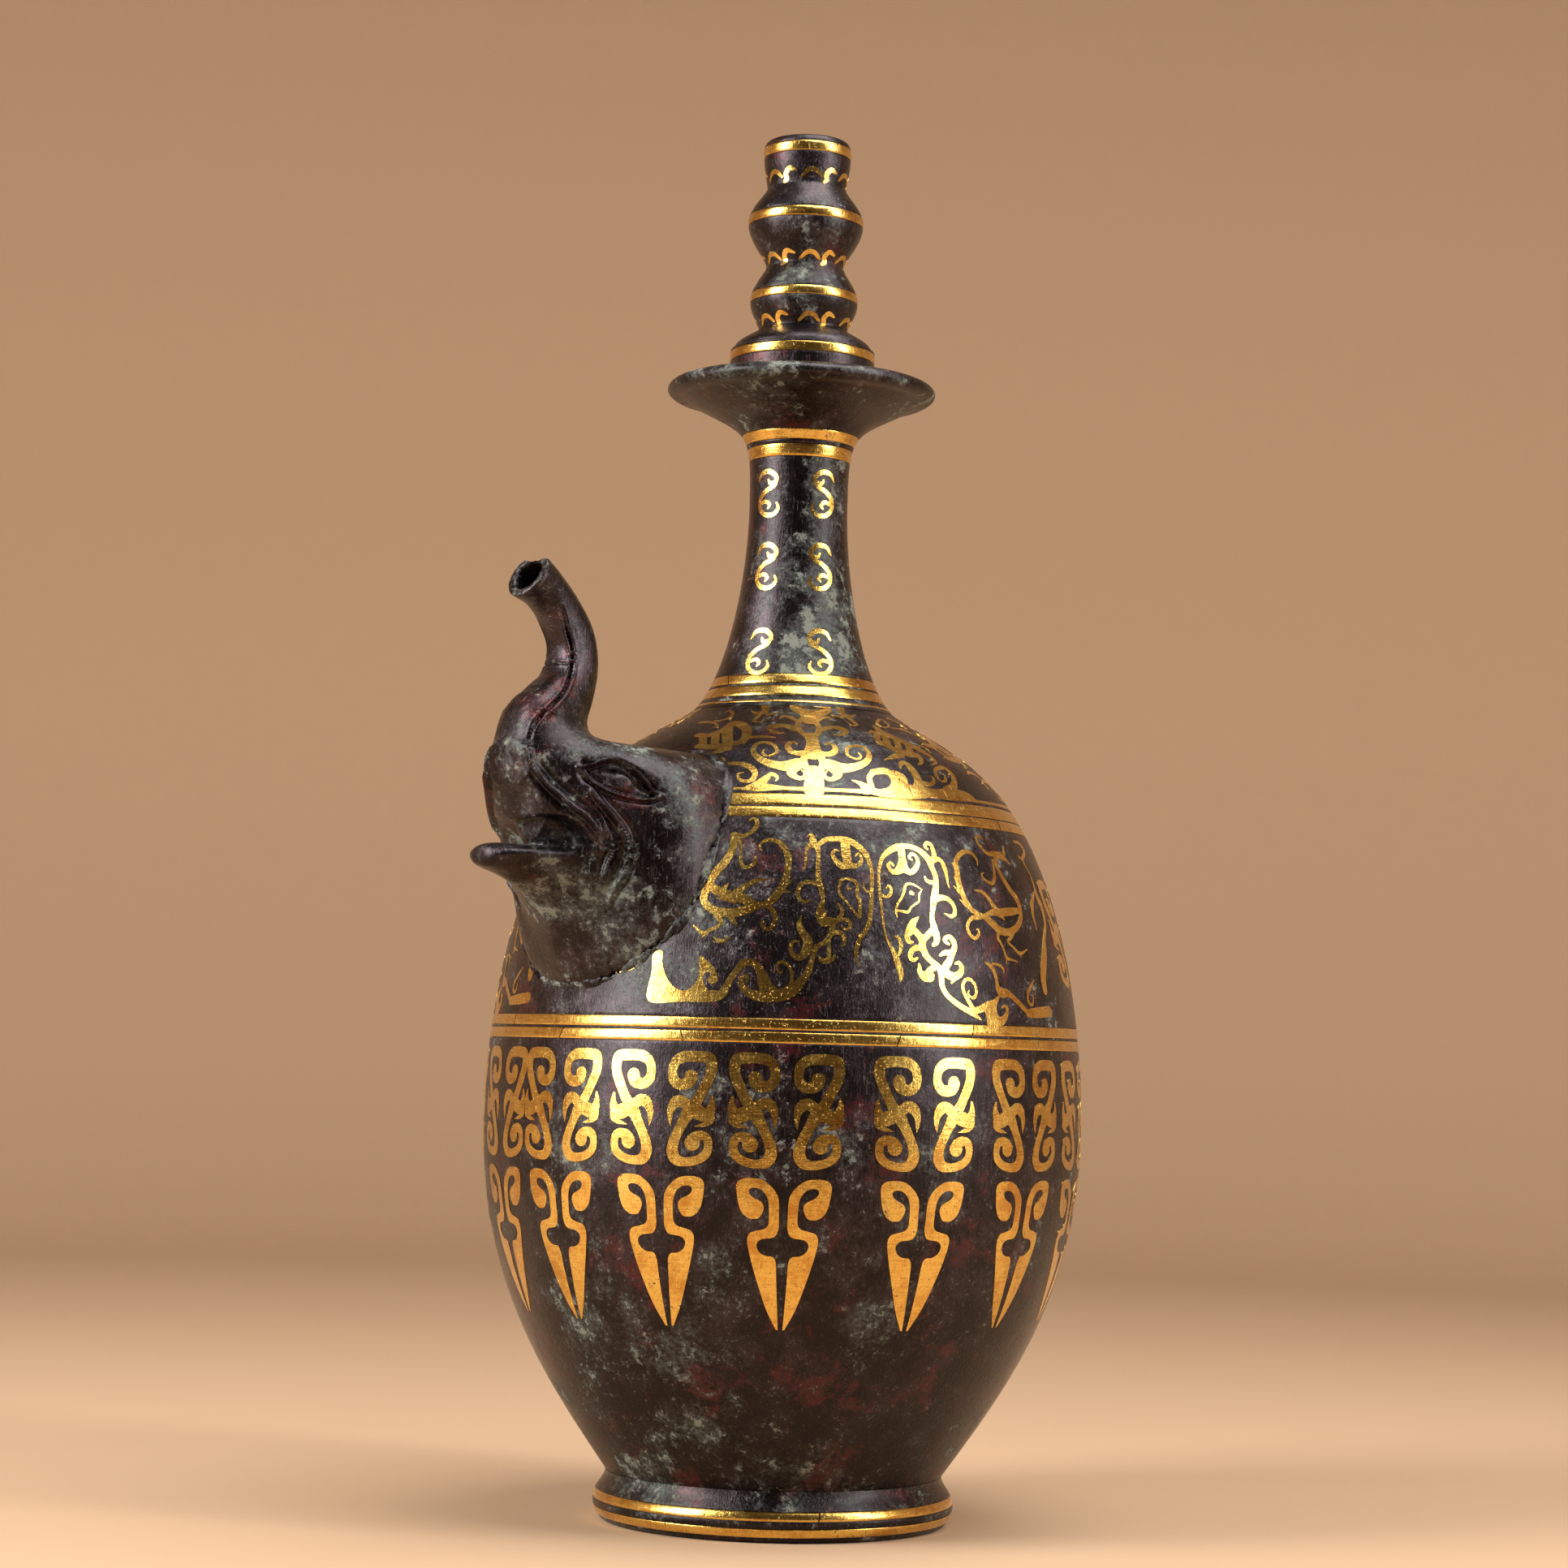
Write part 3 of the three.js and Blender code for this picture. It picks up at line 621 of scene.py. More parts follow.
def gold_finish(name):
    finish = Finish(name)
    clouds = finish.noise(14, detail=4, roughness=0.65, shift=5)
    blotches = finish.noise(3.2, detail=5, roughness=0.65, shift=13)
    specks = finish.noise(0.7, detail=3, roughness=0.6, shift=29)
    rubbing = finish.noise(0.5, detail=3, shift=37, stretch=(0.6, 0.6, 9))
    crossing = finish.noise(0.5, detail=3, shift=39, stretch=(9, 9, 0.6))
    worn = (clouds * 0.50 + blotches * 0.25 + specks * 0.25).over(0.55, 0.63)
    pits = (specks * 0.75 + blotches * 0.25).over(0.60, 0.65)
    tone = (clouds * 0.35 + blotches * 0.25 + rubbing * 0.2 + crossing * 0.2).over(0.40, 0.56)
    colour = finish.mix(tone, DEEP_GOLD, GOLD)
    colour = finish.mix((worn * 0.5 + pits * 0.7).math("MINIMUM", 1.0), colour, WORN_GOLD)
    finish.set(
        Base_Color=colour,
        Metallic=1.0,
        Roughness=0.12 + rubbing * 0.12 + crossing * 0.12 + worn * 0.20,
        Normal=finish.relief(
            rubbing * 0.025 + crossing * 0.025 + specks * 0.03 + blotches * 0.14 - pits * 0.04
        ),
        Coat_Weight=0.5,
        Coat_Roughness=0.25,
    )
    return finish.material


body_bronze = bronze_finish("waxed_bronze", low=85)
neck_bronze = bronze_finish("neck_bronze", green=0.016, saucer=saucer_height + 2)
stopper_bronze = bronze_finish("stopper_bronze", green=0.018)
head_bronze = bronze_finish("head_bronze", green=0.014, red=-0.010)
gold = gold_finish("rubbed_gold")
print("finishes:", [m.name for m in (body_bronze, neck_bronze, stopper_bronze, head_bronze, gold)])


# %% Putting a piece on its body, in its finish
def dress(piece, material, body="vessel", replaces=None):
    piece.data.materials.clear()
    piece.data.materials.append(material)
    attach(piece, body)
    if replaces:
        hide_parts(replaces)
    return piece


# %% [markdown]
# ## The castings
# The foot, body, neck and stopper are turned pieces with their grooves cut in. The body is hollow,
# with a hole behind the spout that lets the wine into the elephant's head.

# %% Foot ring and base plate
def foot_ring():
    section = [*grooved(foot), (FOOT_BORE, foot_height - SEAM), (FOOT_BORE, 0)]
    return turned("bronze_foot_ring", section)


def base_plate():
    radius, thick, soft = FOOT_BORE - SEAM, 3.0, 0.4
    section = [
        (0, 0), (radius - soft, 0), (radius, soft),
        (radius, thick - soft), (radius - soft, thick), (0, thick),
    ]
    return turned("bronze_base_plate", section)


dress(foot_ring(), body_bronze, replaces="foot_ring")
dress(base_plate(), body_bronze, replaces="base_plate")

# %% The body, hollow, with the hole behind the spout
HOLE_RADIUS, HOLE_HEIGHT = 13.0, 182.0
body_mouth = NECK_ROOT - WALL


def cut_hole(piece, radius, height):
    """Cuts a round hole through the -X wall of a piece."""
    mesh = bmesh.new()
    along_x = Matrix.Rotation(math.pi / 2, 4, "Y")
    middle = Matrix.Translation((-belly_radius * MM, 0, height * MM))
    bmesh.ops.create_cone(
        mesh, cap_ends=True, segments=64, radius1=radius * MM, radius2=radius * MM,
        depth=belly_radius * MM, matrix=middle @ along_x,
    )
    cutter = bpy.data.objects.new("cutter", bpy.data.meshes.new("cutter"))
    mesh.to_mesh(cutter.data)
    mesh.free()
    bpy.context.scene.collection.objects.link(cutter)
    cut = piece.modifiers.new("hole", "BOOLEAN")
    cut.object, cut.operation, cut.solver = cutter, "DIFFERENCE", "EXACT"
    bpy.context.view_layer.update()
    evaluated = piece.evaluated_get(bpy.context.evaluated_depsgraph_get())
    result = bpy.data.meshes.new_from_object(evaluated)
    piece.modifiers.clear()
    piece.data = result
    bpy.data.objects.remove(cutter)


def pot_body():
    floor = foot_height + WALL
    inner = body.offset(np.linspace(joint_height, foot_height, 120), -WALL)
    inner = [p for p in inner if p[0] > body_mouth and p[1] > floor]
    section = [
        (0, foot_height), *grooved(body),
        (body_mouth, joint_height), (body_mouth, inner[0][1]), *inner,
        (FOOT_WAIST - WALL, floor), (0, floor),
    ]
    piece = turned("bronze_pot_body", section)
    cut_hole(piece, HOLE_RADIUS, HOLE_HEIGHT)
    return piece


pot = dress(pot_body(), body_bronze, replaces="pot_body")
print("pot body:", len(pot.data.polygons), "faces")

# %% [markdown]
# The neck ends in a spigot that drops into the body's mouth, and the stopper in a plug that drops
# into the neck. Both are modelled, because the plug shows when the stopper is lifted out.

# %% The neck with its saucer, and the stopper
def neck_casting():
    middle = saucer_height + SAUCER_EDGE / 2
    turns = np.radians(np.linspace(-78, 78, 14))
    edge = [(under_edge + SAUCER_BULGE * SAUCER_EDGE * math.cos(t), middle + SAUCER_EDGE / 2 * math.sin(t))
            for t in turns]
    spigot, spigot_wall, spigot_depth = body_mouth - 0.3, 3.2, 6.0
    seat_edge = DRUM_RADIUS + 3.0
    hollow = bezier(
        (under_edge, rim_height),
        (under_edge - 3.5, rim_height - 0.1),
        (seat_edge + 4.5, seat_height + 0.25),
        (seat_edge, seat_height),
        steps=14,
    )
    section = [
        (spigot - spigot_wall, joint_height - spigot_depth), (spigot, joint_height - spigot_depth),
        (spigot, joint_height + SEAM), (NECK_ROOT - 0.1, joint_height + SEAM),
        *grooved(neck)[1:], *edge, *hollow,
        (NECK_BORE, seat_height), (NECK_BORE, neck_waist_height - 17.4),
    ]
    return turned("bronze_neck", section)


def stopper_casting():
    plug = NECK_BORE - 0.3
    bottom = seat_height - PLUG_LENGTH
    section = [
        (0, bottom), (plug - 1.2, bottom), (plug, bottom + 1.2), (plug, seat_height + SEAM),
        *grooved(stopper, step=0.5), (0, crown_height),
    ]
    return turned("bronze_stopper", section, turns=144)


dress(neck_casting(), neck_bronze, replaces="neck")
dress(stopper_casting(), stopper_bronze, body="stopper", replaces="stopper")

# %% The bands
JOINTS = {
    "foot_band_upper": [(14.5, 0.2), (150, 0)],
    "foot_band_lower": [(120, 0.3)],
    "belly_band_lower": [(-46, 0.5), (-19, -0.3), (21, 0.4), (140, 0), (240, 0.4)],
    "belly_band_upper": [(-63, 0.3), (37, 0.2), (160, 0.5)],
    "shoulder_band_lower": [(60, 0.3)],
    "shoulder_band_upper": [(110, -0.4)],
    "neck_foot_band_lower": [(-60, 0.8)],
    "neck_foot_band_upper": [(-52, -0.6)],
}
HEAD_COVER = 28.5

for name, (outline, height, width) in BANDS.items():
    ends = {}
    if name.startswith("shoulder"):
        ends = {"start": HEAD_ANGLE + HEAD_COVER, "end": HEAD_ANGLE + 360 - HEAD_COVER}
    band = gold_band(name, outline, height, width, JOINTS.get(name, ()), **ends)
    rides = "stopper" if outline is stopper else "vessel"
    dress(band, gold, body=rides, replaces=name)
print(len(BANDS), "gold bands")

# %% [markdown]
# ## Gold ornament
# The ornament was cut into the bronze as shallow beds and filled with sheet gold. Each motif is
# drawn with brush-like strokes: a smooth line through a few points, each with its own width. Closed
# shapes are outlines through points. A constrained triangulation joins all the shapes of a motif
# into one flat sheet, and the sheet is wrapped onto the pot and given a thickness.

# %% A smooth line through a few points
SMALLEST_STEP = 0.4


def smooth_line(points, closed=False, step=SMALLEST_STEP):
    """A Catmull-Rom line through points, with about one sample per step."""
    points = np.asarray(points, float)
    if closed:
        padded = np.concatenate([points[-1:], points, points[:2]])
    else:
        first = 2 * points[:1] - points[1:2]
        last = 2 * points[-1:] - points[-2:-1]
        padded = np.concatenate([first, points, last])
    line = []
    for k in range(len(padded) - 3):
        p0, p1, p2, p3 = padded[k:k + 4]
        count = max(2, int(np.linalg.norm((p2 - p1)[:2]) / step))
        t = np.linspace(0, 1, count, endpoint=False)[:, None]
        line.append(0.5 * (2 * p1 + (p2 - p0) * t + (2 * p0 - 5 * p1 + 4 * p2 - p3) * t ** 2
                           + (3 * p1 - p0 - 3 * p2 + p3) * t ** 3))
    if not closed:
        line.append(points[-1:])
    return np.concatenate(line)


# %% A drawing on the unrolled map
def convex(points):
    """The points of a small cell in order round its hull, so that tight bends keep a clean shape."""
    ordered = sorted((float(x), float(y)) for x, y in points)

    def chain(source):
        kept = []
        for p in source:
            while len(kept) > 1:
                (ax, ay), (bx, by) = kept[-2], kept[-1]
                if (bx - ax) * (p[1] - ay) - (by - ay) * (p[0] - ax) > 1e-9:
                    break
                kept.pop()
            kept.append(p)
        return kept[:-1]

    return chain(ordered) + chain(reversed(ordered))


class Drawing:
    """Shapes on the map of a turned form. Map units are millimetres at the drawing's own height."""

    def __init__(self, outline, height):
        self.outline = outline
        self.scale = float(outline.radius(height))
        self.cells = []

    def on_map(self, angles, heights):
        return self.outline.map_from(np.radians(angles), heights) * self.scale

    def width_on_map(self, heights, widths):
        return widths * self.scale / self.outline.radius(heights)

    def stroke(self, points):
        """A brush stroke through (angle in degrees, height, width)."""
        angles, heights, widths = np.asarray(points, float).T
        flat = self.on_map(angles, heights)
        widths = self.width_on_map(heights, widths)
        line = smooth_line(np.column_stack([flat, widths]))
        middle, half = line[:, :2], np.maximum(line[:, 2], 0.06) / 2
        along = np.gradient(middle, axis=0)
        along /= np.linalg.norm(along, axis=1)[:, None]
        side = np.stack([-along[:, 1], along[:, 0]], axis=1) * half[:, None]
        left, right = middle + side, middle - side
        for k in range(len(middle) - 1):
            cell = convex([right[k], right[k + 1], left[k + 1], left[k]])
            if len(cell) > 2:
                self.cells.append(cell)
        for end in (0, -1):
            if half[end] > 0.15:
                turns = np.linspace(0, 2 * math.pi, 14, endpoint=False)
                disc = middle[end] + half[end] * np.stack([np.cos(turns), np.sin(turns)], axis=1)
                self.cells.append(list(disc))

    def outline_shape(self, points, corners=()):
        """A closed shape through (angle, height); it is smooth except at the corners' indices."""
        angles, heights = np.asarray(points, float).T
        flat = self.on_map(angles, heights)
        if not corners:
            line = smooth_line(flat, closed=True)
        else:
            flat = np.roll(flat, -corners[0], axis=0)
            stops = [c - corners[0] for c in corners] + [len(flat)]
            flat = np.concatenate([flat, flat[:1]])
            runs = [smooth_line(flat[a:b + 1])[:-1] for a, b in zip(stops, stops[1:])]
            line = np.concatenate(runs)
        area = np.sum(line[:, 0] * np.roll(line[:, 1], -1) - np.roll(line[:, 0], -1) * line[:, 1])
        self.cells.append(list(line if area > 0 else line[::-1]))


# %% [markdown]
# The triangulation says which shapes cover each of its triangles. Where many strokes cross at
# small angles, a shape may claim triangles beyond its own edge, and gold would flood the bronze
# there. The area that each shape claims is therefore compared with its own, and where it is too
# large its triangles are tested one by one.

# %% Which triangles are gold
def crossings(corners, points):
    """For each point, whether it lies inside a polygon."""
    inside = np.zeros(len(points), bool)
    for (ax, ay), (bx, by) in zip(corners, np.roll(corners, -1, axis=0)):
        between = (ay > points[:, 1]) != (by > points[:, 1])
        if ay != by:
            inside ^= between & (points[:, 0] < ax + (points[:, 1] - ay) * (bx - ax) / (by - ay))
    return inside


LEAK_SHARE, LEAK_AREA = 1.05, 0.02


def covered(points, faces, sources, flat, cells):
    """The triangles inside the cells. Where a cell leaks past its own edge, its triangles are tested."""
    corners = np.array([tuple(p) for p in points])[np.array(faces)]
    centres = corners.mean(axis=1)
    (ax, ay), (bx, by) = (corners[:, 1] - corners[:, 0]).T, (corners[:, 2] - corners[:, 0]).T
    areas = np.abs(ax * by - ay * bx) / 2
    members = {}
    for face, source in enumerate(sources):
        for cell in source:
            members.setdefault(cell, []).append(face)
    kept = set()
    for cell, inside in members.items():
        edge = np.array([tuple(flat[i]) for i in cells[cell]])
        following = np.roll(edge, -1, axis=0)
        own = abs(np.sum(edge[:, 0] * following[:, 1] - following[:, 0] * edge[:, 1])) / 2
        inside = np.array(inside)
        if areas[inside].sum() > own * LEAK_SHARE + LEAK_AREA:
            inside = inside[crossings(edge, centres[inside])]
        kept.update(inside.tolist())
    return [faces[i] for i in sorted(kept)]


# %% Joining the shapes into one sheet of gold
INLAY_LIFT = 0.08
INLAY_DEPTH = 0.35
SUPPORT_SPACING = 2.4


def inlay(name, drawing):
    """One piece of sheet gold with all the shapes of a drawing, wrapped onto its form."""
    flat, cells = [], []
    for cell in drawing.cells:
        cells.append(list(range(len(flat), len(flat) + len(cell))))
        flat += [Vector((float(p[0]), float(p[1]))) for p in cell]
    low = np.min([tuple(p) for p in flat], axis=0)
    high = np.max([tuple(p) for p in flat], axis=0)
    for x in np.arange(low[0], high[0], SUPPORT_SPACING):
        for y in np.arange(low[1], high[1], SUPPORT_SPACING):
            flat.append(Vector((x, y)))
    points, _, faces, _, _, sources = delaunay_2d_cdt(flat, [], cells, 0, 0.01)
    kept = covered(points, faces, sources, flat, cells)
    used = sorted({i for face in kept for i in face})
    index = {old: new for new, old in enumerate(used)}
    kept = [tuple(index[i] for i in face) for face in kept]
    on_map = np.array([tuple(points[i]) for i in used]) / drawing.scale
    heights = drawing.outline.height_on_map(on_map[:, 1])
    angles = CAMERA_SIDE + on_map[:, 0]
    top = drawing.outline.place(angles, heights, INLAY_LIFT)
    under = drawing.outline.place(angles, heights, -INLAY_DEPTH)
    count = len(used)
    edges = {(a, b) for face in kept for a, b in zip(face, face[1:] + face[:1])}
    rim = [(a, b) for a, b in edges if (b, a) not in edges]
    faces = kept + [tuple(i + count for i in reversed(face)) for face in kept]
    faces += [(b, a, a + count, b + count) for a, b in rim]
    return mesh_piece(name, np.concatenate([top, under]), faces)


# %% [markdown]
# ### Scrolls and blades on the belly
# Under the belly bands hang fifteen columns: a pair of facing scrolls over a blade that two curls
# carry. The right half of each is the left one mirrored. The columns were set out by eye, so their
# spacing is not quite even.

# %% The motifs of a column, in millimetres from its middle
SCROLL_CURL = [
    (0.2, 8, 3.1), (0.6, 6.6, 2.7), (2, 6, 2.5), (3.6, 6.1, 2.4), (4.9, 7.4, 2.3), (5.2, 9.4, 2.1),
    (4.6, 11.5, 2.2), (2.8, 12.8, 2.4), (0.5, 13.1, 2.4), (-2.8, 13, 2.5), (-4.6, 12.5, 2.6),
    (-5.1, 10.6, 2.5), (-4.9, 8.7, 2.4), (-4.1, 6.7, 2.4), (-3, 4.4, 2.3), (-1.9, 2.3, 2.4),
    (-0.6, 0.4, 2.8), (0.6, -1.2, 3), (1.6, -2.9, 2.5), (2.6, -4.8, 2.3), (3.7, -7, 2.3),
    (4.5, -9.4, 2.5), (4.5, -11.3, 2.7), (3.5, -12.9, 2.5), (1.5, -13.4, 2), (-0.8, -13.2, 1.9),
    (-3, -12.4, 1.9), (-4.4, -11.1, 2), (-4.9, -9.4, 1.9), (-4.5, -7.4, 2), (-3, -6.7, 2.1),
    (-1.2, -7.4, 2.7), (-0.7, -8.6, 3.5),
]
SCROLL_BARBS = [
    [(-5.4, 3.2, 0.6), (-5.6, 1.4, 1.4), (-5.1, -0.5, 2.4), (-3.8, -1.4, 3.2), (-1.7, -0.8, 3.2)],
    [(-4.9, -1.4, 2.6), (-5.4, -2.8, 1.6), (-4, -3.8, 1.1), (-2.5, -4.2, 0.6), (-1.2, -4.5, 0.1)],
    [(0.5, 0.5, 2.4), (2.6, 1.8, 2.5), (4.3, 1.2, 2.5), (5.3, -0.8, 1.6), (5.4, -2.7, 1),
     (5.2, -4.6, 0.1)],
]
SCROLL_MIDDLE, SCROLL_HEIGHT, SCROLL_WEIGHT = 8.15, 111.5, 1.15
BLADE_TOP = 94.6
BLADE = [
    (-8.5, 0), (-5.5, -0.4), (-3, -2.2), (-1.6, -4.2), (-1.2, -6.1), (-1.1, -9.5), (-1.1, -12.4),
    (-1.6, -14), (-2.5, -14.8), (-5.1, -15.2), (-6.3, -16), (-6.5, -17.2), (-5.7, -18.6),
    (-4.2, -19.4), (-2.5, -19.6), (-1.8, -20.4), (-1.5, -21.8), (-1.3, -26.1), (-0.6, -38.3),
    (-1.1, -38.2), (-3.9, -32.5), (-6.8, -24.1), (-8.5, -18.1), (-8.9, -15.3), (-8.3, -13.8),
    (-7.1, -13.3), (-4.6, -12.6), (-3.7, -11.5), (-3.6, -9.6), (-3.8, -6.1), (-4.6, -4),
    (-6, -2.7), (-7.9, -2.4), (-8.8, -3), (-8.6, -4), (-7.6, -4.9), (-5.8, -5.8), (-5, -7),
    (-5.2, -8.4), (-6.1, -9.9), (-7.4, -10.2), (-8.8, -10), (-10.4, -8.7), (-11.4, -6.4),
    (-12, -2.7), (-11.8, -1.2), (-10.7, -0.3),
]
BLADE_CORNERS = (18, 19)
COLUMN_ANGLES = [-66, -45.4, -22.4, 0.5, 26.6, 51.6, 75]
HIDDEN_COLUMNS = 8
print("a scroll has", len(SCROLL_CURL), "points and a blade", len(BLADE))


# %% Fifteen columns
def column_angles():
    """The columns that the photograph shows, and the rest spread evenly round the back."""
    gap = (COLUMN_ANGLES[0] + 360 - COLUMN_ANGLES[-1]) / (HIDDEN_COLUMNS + 1)
    return COLUMN_ANGLES + [COLUMN_ANGLES[-1] + gap * (k + 1) for k in range(HIDDEN_COLUMNS)]


def turned_to(angle, middle_height, points, outline=body):
    """Points (across, up, ...) in millimetres as (angle, height, ...) about a middle."""
    points = np.array(points, float)
    heights = middle_height + points[:, 1]
    points[:, 0] = angle + np.degrees(points[:, 0] / outline.radius(heights))
    points[:, 1] = heights
    return points


def scroll_pair(name, angle, height=SCROLL_HEIGHT):
    drawing = Drawing(body, height)
    for side in (-1, 1):
        for stroke in (SCROLL_CURL, *SCROLL_BARBS):
            placed = [(side * (SCROLL_MIDDLE - x), y, w * SCROLL_WEIGHT) for x, y, w in stroke]
            drawing.stroke(turned_to(angle, height, placed))
    return inlay(name, drawing)


def blade(name, angle):
    drawing = Drawing(body, BLADE_TOP)
    for side in (-1, 1):
        placed = [(-side * x, y) for x, y in BLADE]
        drawing.outline_shape(turned_to(angle, BLADE_TOP, placed), corners=BLADE_CORNERS)
    return inlay(name, drawing)


for k, angle in enumerate(column_angles()):
    dress(scroll_pair(f"gold_scrolls_{k:02d}", angle), gold)
    dress(blade(f"gold_blade_{k:02d}", angle), gold)
print(k + 1, "columns of scrolls and blades")

# %% [markdown]
# ### The frieze between the bands
# Between the belly and shoulder bands grow three wide cloud trees, each a pair of brackets whose
# stems curl into leaves. A long-tailed bird stands on either side of a tree, over a wave and a
# square-footed vessel. The whole group comes three times round the pot, and a pair of scrolls
# fills the gap between two groups. Points are across, up and width in millimetres from a middle.

# %% The right-hand half of a tree
TREE_RIGHT = [
    [(17.1, 16.1, 1.8), (15.4, 18, 1.8), (13.3, 19.4, 1.5), (10.7, 20, 1.4), (7.6, 19.7, 1.8),
     (4.8, 18.3, 1.5), (3, 16.6, 1.1), (2, 14.3, 0.9), (1.5, 11.6, 0.7), (1.4, 9.2, 0.7),
     (1.4, 6.6, 0.8), (1.6, 3.6, 0.7), (1.7, 0.9, 0.6), (2, -2.4, 0.6), (2.8, -5, 0.7),
     (3.8, -7, 1), (4.7, -8.9, 1.6), (5.5, -11.6, 1.8), (5.9, -13.5, 1.4), (5.6, -15.2, 0.3)],
    [(3.2, 8.6, 0.3), (3.9, 9.4, 0.7), (4.6, 8.7, 0.8), (4.3, 7.3, 0.9), (3.2, 6.5, 0.9),
     (1.6, 6.9, 0.7)],
    [(4.5, -3.8, 0.3), (5.3, -3.6, 0.7), (6.1, -4.6, 1), (6.3, -6.2, 1), (5.8, -7.8, 0.9),
     (4.8, -8.6, 0.7)],
    [(8.5, 19.4, 2.3), (8.6, 17, 2), (8.3, 14.6, 2.8), (6.1, 13, 1.5), (4.7, 13.8, 1.1),
     (4.4, 14.8, 0.9), (5.2, 15.5, 0.8), (5.8, 14.8, 0.7)],
    [(8.3, 14.6, 2.8), (10.4, 13.2, 1.6), (12.2, 14.3, 1.4), (13.1, 16, 1.1), (12.6, 17.6, 0.9),
     (11.5, 18, 0.9), (10.6, 17.1, 0.8), (11.3, 16.5, 0.5)],
    [(18.4, 16.8, 1.5), (18.3, 18.8, 1.4), (17.9, 20.6, 1.1), (16.6, 21.2, 1.1),
     (15.8, 20.3, 0.9), (16.5, 19.6, 0.7)],
    [(18, 17.1, 1.6), (20.1, 16.9, 1.3), (21.1, 15.2, 1.3), (21.6, 13.2, 1.1), (21.7, 11.2, 0.7),
     (22, 9.5, 0.2)],
    [(16.4, 17, 2), (17.2, 14.7, 1.6), (18, 12.4, 1.5), (17.9, 10.7, 1.6), (17.4, 8.3, 2),
     (16.8, 6.2, 2), (16.1, 3.5, 1.4), (15.8, 1.5, 1.4), (16.2, -0.9, 2), (16.8, -3.2, 2),
     (16.6, -4.7, 1.5), (15.7, -5.4, 1)],
    [(17.8, 10.8, 1.3), (16, 10.9, 1.1), (14.9, 11.5, 0.9), (14.7, 12.2, 0.5)],
    [(17.3, 6.7, 2), (20.1, 7, 1.4), (22.1, 6.1, 1.3), (23.1, 4.5, 1.2), (23, 2.9, 1.2),
     (21.8, 2.2, 0.9), (20.6, 2.6, 0.5), (19.7, 2.9, 0.2)],
    [(11.8, 1.6, 0.3), (10.2, 0.2, 1.8), (9.1, -1.8, 2.2), (8.2, -3.5, 1.6), (8.5, -4.8, 1.3),
     (9.5, -5, 0.8)],
    [(9.3, -1.2, 2), (11.2, -2.7, 1.8), (12.4, -4.4, 2), (12.4, -6, 2), (13.3, -8.1, 1.8),
     (14.9, -9.7, 1.6), (17, -11.3, 1.8), (17.6, -13.4, 1.6), (17.7, -15.8, 1.5), (19, -18, 1.4),
     (21.4, -19.8, 1.4), (24.2, -21.3, 1.5), (26.9, -22.4, 1.6), (30.1, -24.2, 0.3)],
    [(12.3, -4.4, 2), (14.2, -2.9, 1.6), (16.1, -1.2, 1.8)],
    [(12.6, -6.3, 1.6), (10.3, -6.4, 1.5), (9.1, -7.4, 1.4), (8.7, -8.8, 1.3), (9.5, -9.5, 1.1),
     (10.6, -9.1, 0.7)],
    [(11.2, -10.6, 0.7), (11.3, -12.3, 1.5), (12.6, -13.8, 2), (14.5, -14.1, 1.5),
     (15.2, -13.1, 0.7)],
    [(13, -13.4, 2), (14.2, -12.1, 1.8), (15.8, -11, 1.6)],
    [(20.5, -5, 0.7), (19.4, -4.4, 1.1), (19.3, -3.7, 1.2), (20.7, -3.2, 1.4), (22, -4.3, 1.6),
     (22.1, -6.1, 1.6), (21, -7.7, 2), (20.3, -9.4, 1.9), (19, -11.1, 2.2), (19.5, -12.7, 2.3),
     (21.6, -13.3, 2.1), (23.6, -12.4, 1.8), (24.1, -10.9, 1.5), (23.2, -9.7, 1.1),
     (22.1, -10, 0.5)],
    [(21, -7.2, 1.6), (19, -7.3, 1.3), (17.5, -8, 0.7)],
    [(21.6, -13.7, 1.6), (20.5, -15.2, 0.3)],
    [(27.4, -21.4, 1.3), (25.2, -18.5, 1.1), (24.2, -16.2, 1), (24.7, -14.5, 0.9),
     (26.3, -13.8, 0.9), (28, -14.8, 0.9), (28.7, -16.7, 0.9), (28, -18.4, 0.9),
     (26.7, -18.5, 0.7), (25.9, -17.5, 0.6), (26.3, -16.7, 0.3)],
    [(26.9, -22.3, 1.6), (29.9, -21.4, 1.8), (32.7, -20.4, 2.3)],
    [(13.4, 8.8, 0.3), (11.8, 9.7, 0.5), (10.1, 10.2, 0.6), (8.8, 9.7, 0.7), (8.1, 7.8, 0.7),
     (7.1, 6.1, 0.6), (5.9, 4.4, 0.6), (5.5, 2.7, 0.7), (5.7, 1.2, 0.2)],
    [(6, 3.1, 0.5), (7.3, 2.9, 0.7), (8.9, 2.8, 0.7), (9.7, 3.9, 0.5), (11.2, 5, 0.5),
     (12.3, 5.8, 0.5), (12.5, 7.4, 0.5), (13.4, 8.8, 0.3)],
    [(10.2, 7.8, 1.1), (10.5, 7.7, 1.1)],
    [(32, -9.1, 0.2), (34.3, -10.2, 1.3), (35.6, -11.8, 1.2), (36.2, -13.8, 1), (36.6, -15.8, 1.8),
     (38, -16.9, 2.8), (40.8, -17.1, 1.8), (44, -18.9, 1.5), (47.3, -20.9, 1.5),
     (49.3, -22.2, 1.3)],
    [(35.1, -9.5, 0.7), (37.6, -9.8, 0.8), (39.1, -10.7, 0.8), (39.2, -11.7, 0.4)],
]
